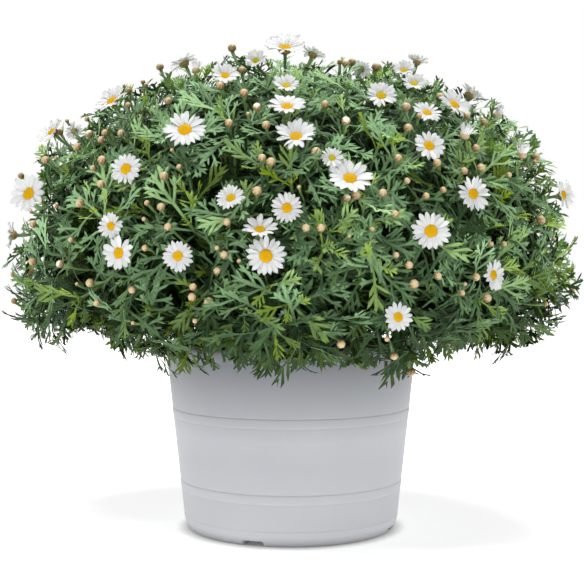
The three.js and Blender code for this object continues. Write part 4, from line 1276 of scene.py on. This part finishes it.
# The trunk, its branches and their twigs: tubes from the soil to the boughs, radii from foot to tip
stemShape = {
    "sunk": 24, "trunk": (7.0, 5.4), "trunkStations": 9, "trunkSides": 14,
    "endAngle": 66, "endShare": 0.76, "crownEnd": 325, "under": 8,
    "branch": (3.6, 2.2), "branchStations": 12, "branchSides": 8,
    "twigs": 6, "twigFrom": 5, "twigWild": 0.55, "twigLength": (60, 85), "twigShare": 0.74,
    "twig": (2.0, 1.4), "twigStations": 8, "twigSides": 6, "seed": 9,
}


def makeStems():
    s = stemShape

    def branches(kind, start, leave, end, reach):
        stations = s[f"{kind}Stations"]
        paths = arcs(start, leave, end, reach, stations)
        return paths, tubes(paths, np.linspace(*s[kind], stations), s[f"{kind}Sides"])

    random = np.random.default_rng(s["seed"])
    up = np.array([[0.0, 0, 1]])
    fork = boughs["fork"] * up
    _, trunk = branches("trunk", (soilSize["top"] - s["sunk"]) * up, up, fork, up)
    turns = (np.arange(boughs["sides"]) + 0.5) / boughs["sides"] * 2 * np.pi
    ends = np.concatenate([domePoint(s["endAngle"] * degree, turns, s["endShare"]), s["crownEnd"] * up])
    start = np.repeat(fork - s["under"] * up, len(ends), 0)
    ways = unit(ends - start)
    main, limbs = branches("branch", start, unit(ways + [0, 0, 0.6]), ends, ways)
    # twigs leave each branch half way and fan out to the shoots' feet
    at, leave = np.repeat(main[:, s["twigFrom"]], s["twigs"], 0), np.repeat(ways, s["twigs"], 0)
    spread = unit(leave + random.normal(0, s["twigWild"], at.shape))
    far = at + spread * random.uniform(*s["twigLength"], (len(at), 1))
    share, middle = domeShare(far)[:, None], [0, 0, dome["middle"]]
    far = np.where(share > s["twigShare"], middle + (far - middle) * s["twigShare"] / share, far)
    _, twigs = branches("twig", at, leave, far, unit(far - at))
    addPiece("woody_stems", [trunk, limbs, twigs], [looks["bark"]], ["stems"])
    print("stems made")


makeStems()

# The stage: a pale floor that glows softly, a white surround, soft lights, and the camera at the photograph's
# place. Each span goes from two lengths or heights to two strengths; a lamp has a place, a size and a power
stage = {
    "floor": 6.0, "grey": 0.75, "rough": 0.9,
    # painted shadow: the floor's glow drops under the pot
    "glow": (0.5, 2.0, 0.68, 1.0), "underPot": (0.08, 0.094, 0.1, 1.0),
    "low": (0.2, 0.45, 1.0, 0.0), "behind": (-0.1, 0.6, 0.05, 0.3), "sky": 0.38, "target": (0, 0, 0.2),
    "lamps": {
        "keyLight": ((-0.5, -1.5, 2.1), 0.6, 90),
        "fillLight": ((1.5, -1.5, 0.8), 1.2, 8),
        "topLight": ((0.2, 0.3, 2.3), 0.9, 46),
    },
}
white = (1, 1, 1, 1)


def makeFloor():
    s, wide = stage, stage["floor"]
    mesh = bpy.data.meshes.new("floor")
    corners = [(-wide, -wide, 0), (wide, -wide, 0), (wide, wide, 0), (-wide, wide, 0)]
    mesh.from_pydata(corners, [], [(0, 1, 2, 3)])
    look, tree = newLook("paleFloor")
    away = addNode(tree, "ShaderNodeVectorMath", {0: placeOf(tree)}, operation="LENGTH").outputs["Value"]
    # painted shadow under the pot, where the floor's glow is cut
    glow, underPot = stretch(tree, away, *s["glow"]), stretch(tree, away, *s["underPot"])
    setInputs(tree, tree.nodes["Principled BSDF"], {
        "Base Color": (s["grey"], s["grey"], s["grey"], 1), "Roughness": s["rough"], "Emission Color": white,
        "Emission Strength": compute(tree, "MULTIPLY", glow, underPot),
    })
    mesh.materials.append(look)
    ground = bpy.data.objects.new("floor", mesh)
    bpy.context.scene.collection.objects.link(ground)


def makeSky():  # lit from low down behind the plant, and plain white where the camera itself sees it
    s = stage
    world = bpy.data.worlds.new("studio")
    bpy.context.scene.world = world
    world.use_nodes = True
    tree = world.node_tree
    way = addNode(tree, "ShaderNodeSeparateXYZ", {"Vector": placeOf(tree, "Generated")}).outputs
    low, behind = stretch(tree, way["Z"], *s["low"]), stretch(tree, way["Y"], *s["behind"])
    lit = compute(tree, "ADD", compute(tree, "MULTIPLY", low, behind), s["sky"])
    seen = addNode(tree, "ShaderNodeLightPath", {}).outputs["Is Camera Ray"]
    strength = stretch(tree, seen, 0.0, 1.0, lit, 1.0)
    setInputs(tree, tree.nodes["Background"], {"Color": white, "Strength": strength})


def makeLamps():
    for name, (place, size, power) in stage["lamps"].items():
        light = bpy.data.lights.new(name, "AREA")
        light.shape = "DISK"
        light.size = size
        light.energy = power
        lamp = bpy.data.objects.new(name, light)
        bpy.context.scene.collection.objects.link(lamp)
        lamp.location = place
        x, y, z = way = np.array(stage["target"]) - place
        tilt, turn = math.acos(z / np.linalg.norm(way)), math.atan2(x, -y)
        lamp.rotation_euler = (tilt + math.pi, 0, turn + math.pi)


def makeCamera():
    lens = bpy.data.cameras.new("camera")
    lens.sensor_width = 36
    lens.lens = lens.sensor_width * sight["focal"] / sight["frame"]
    lens.shift_x = (sight["frame"] / 2 - sight["axis"]) / sight["frame"]
    lens.shift_y = (sight["horizon"] - sight["frame"] / 2) / sight["frame"]
    camera = bpy.data.objects.new("camera", lens)
    bpy.context.scene.collection.objects.link(camera)
    camera.location = eye * millimetre
    camera.rotation_euler = (90 * degree, 0, 0)
    bpy.context.scene.camera = camera


makeFloor()
makeSky()
makeLamps()
makeCamera()
bpy.context.scene.view_settings.view_transform = "Standard"
print("stage made")
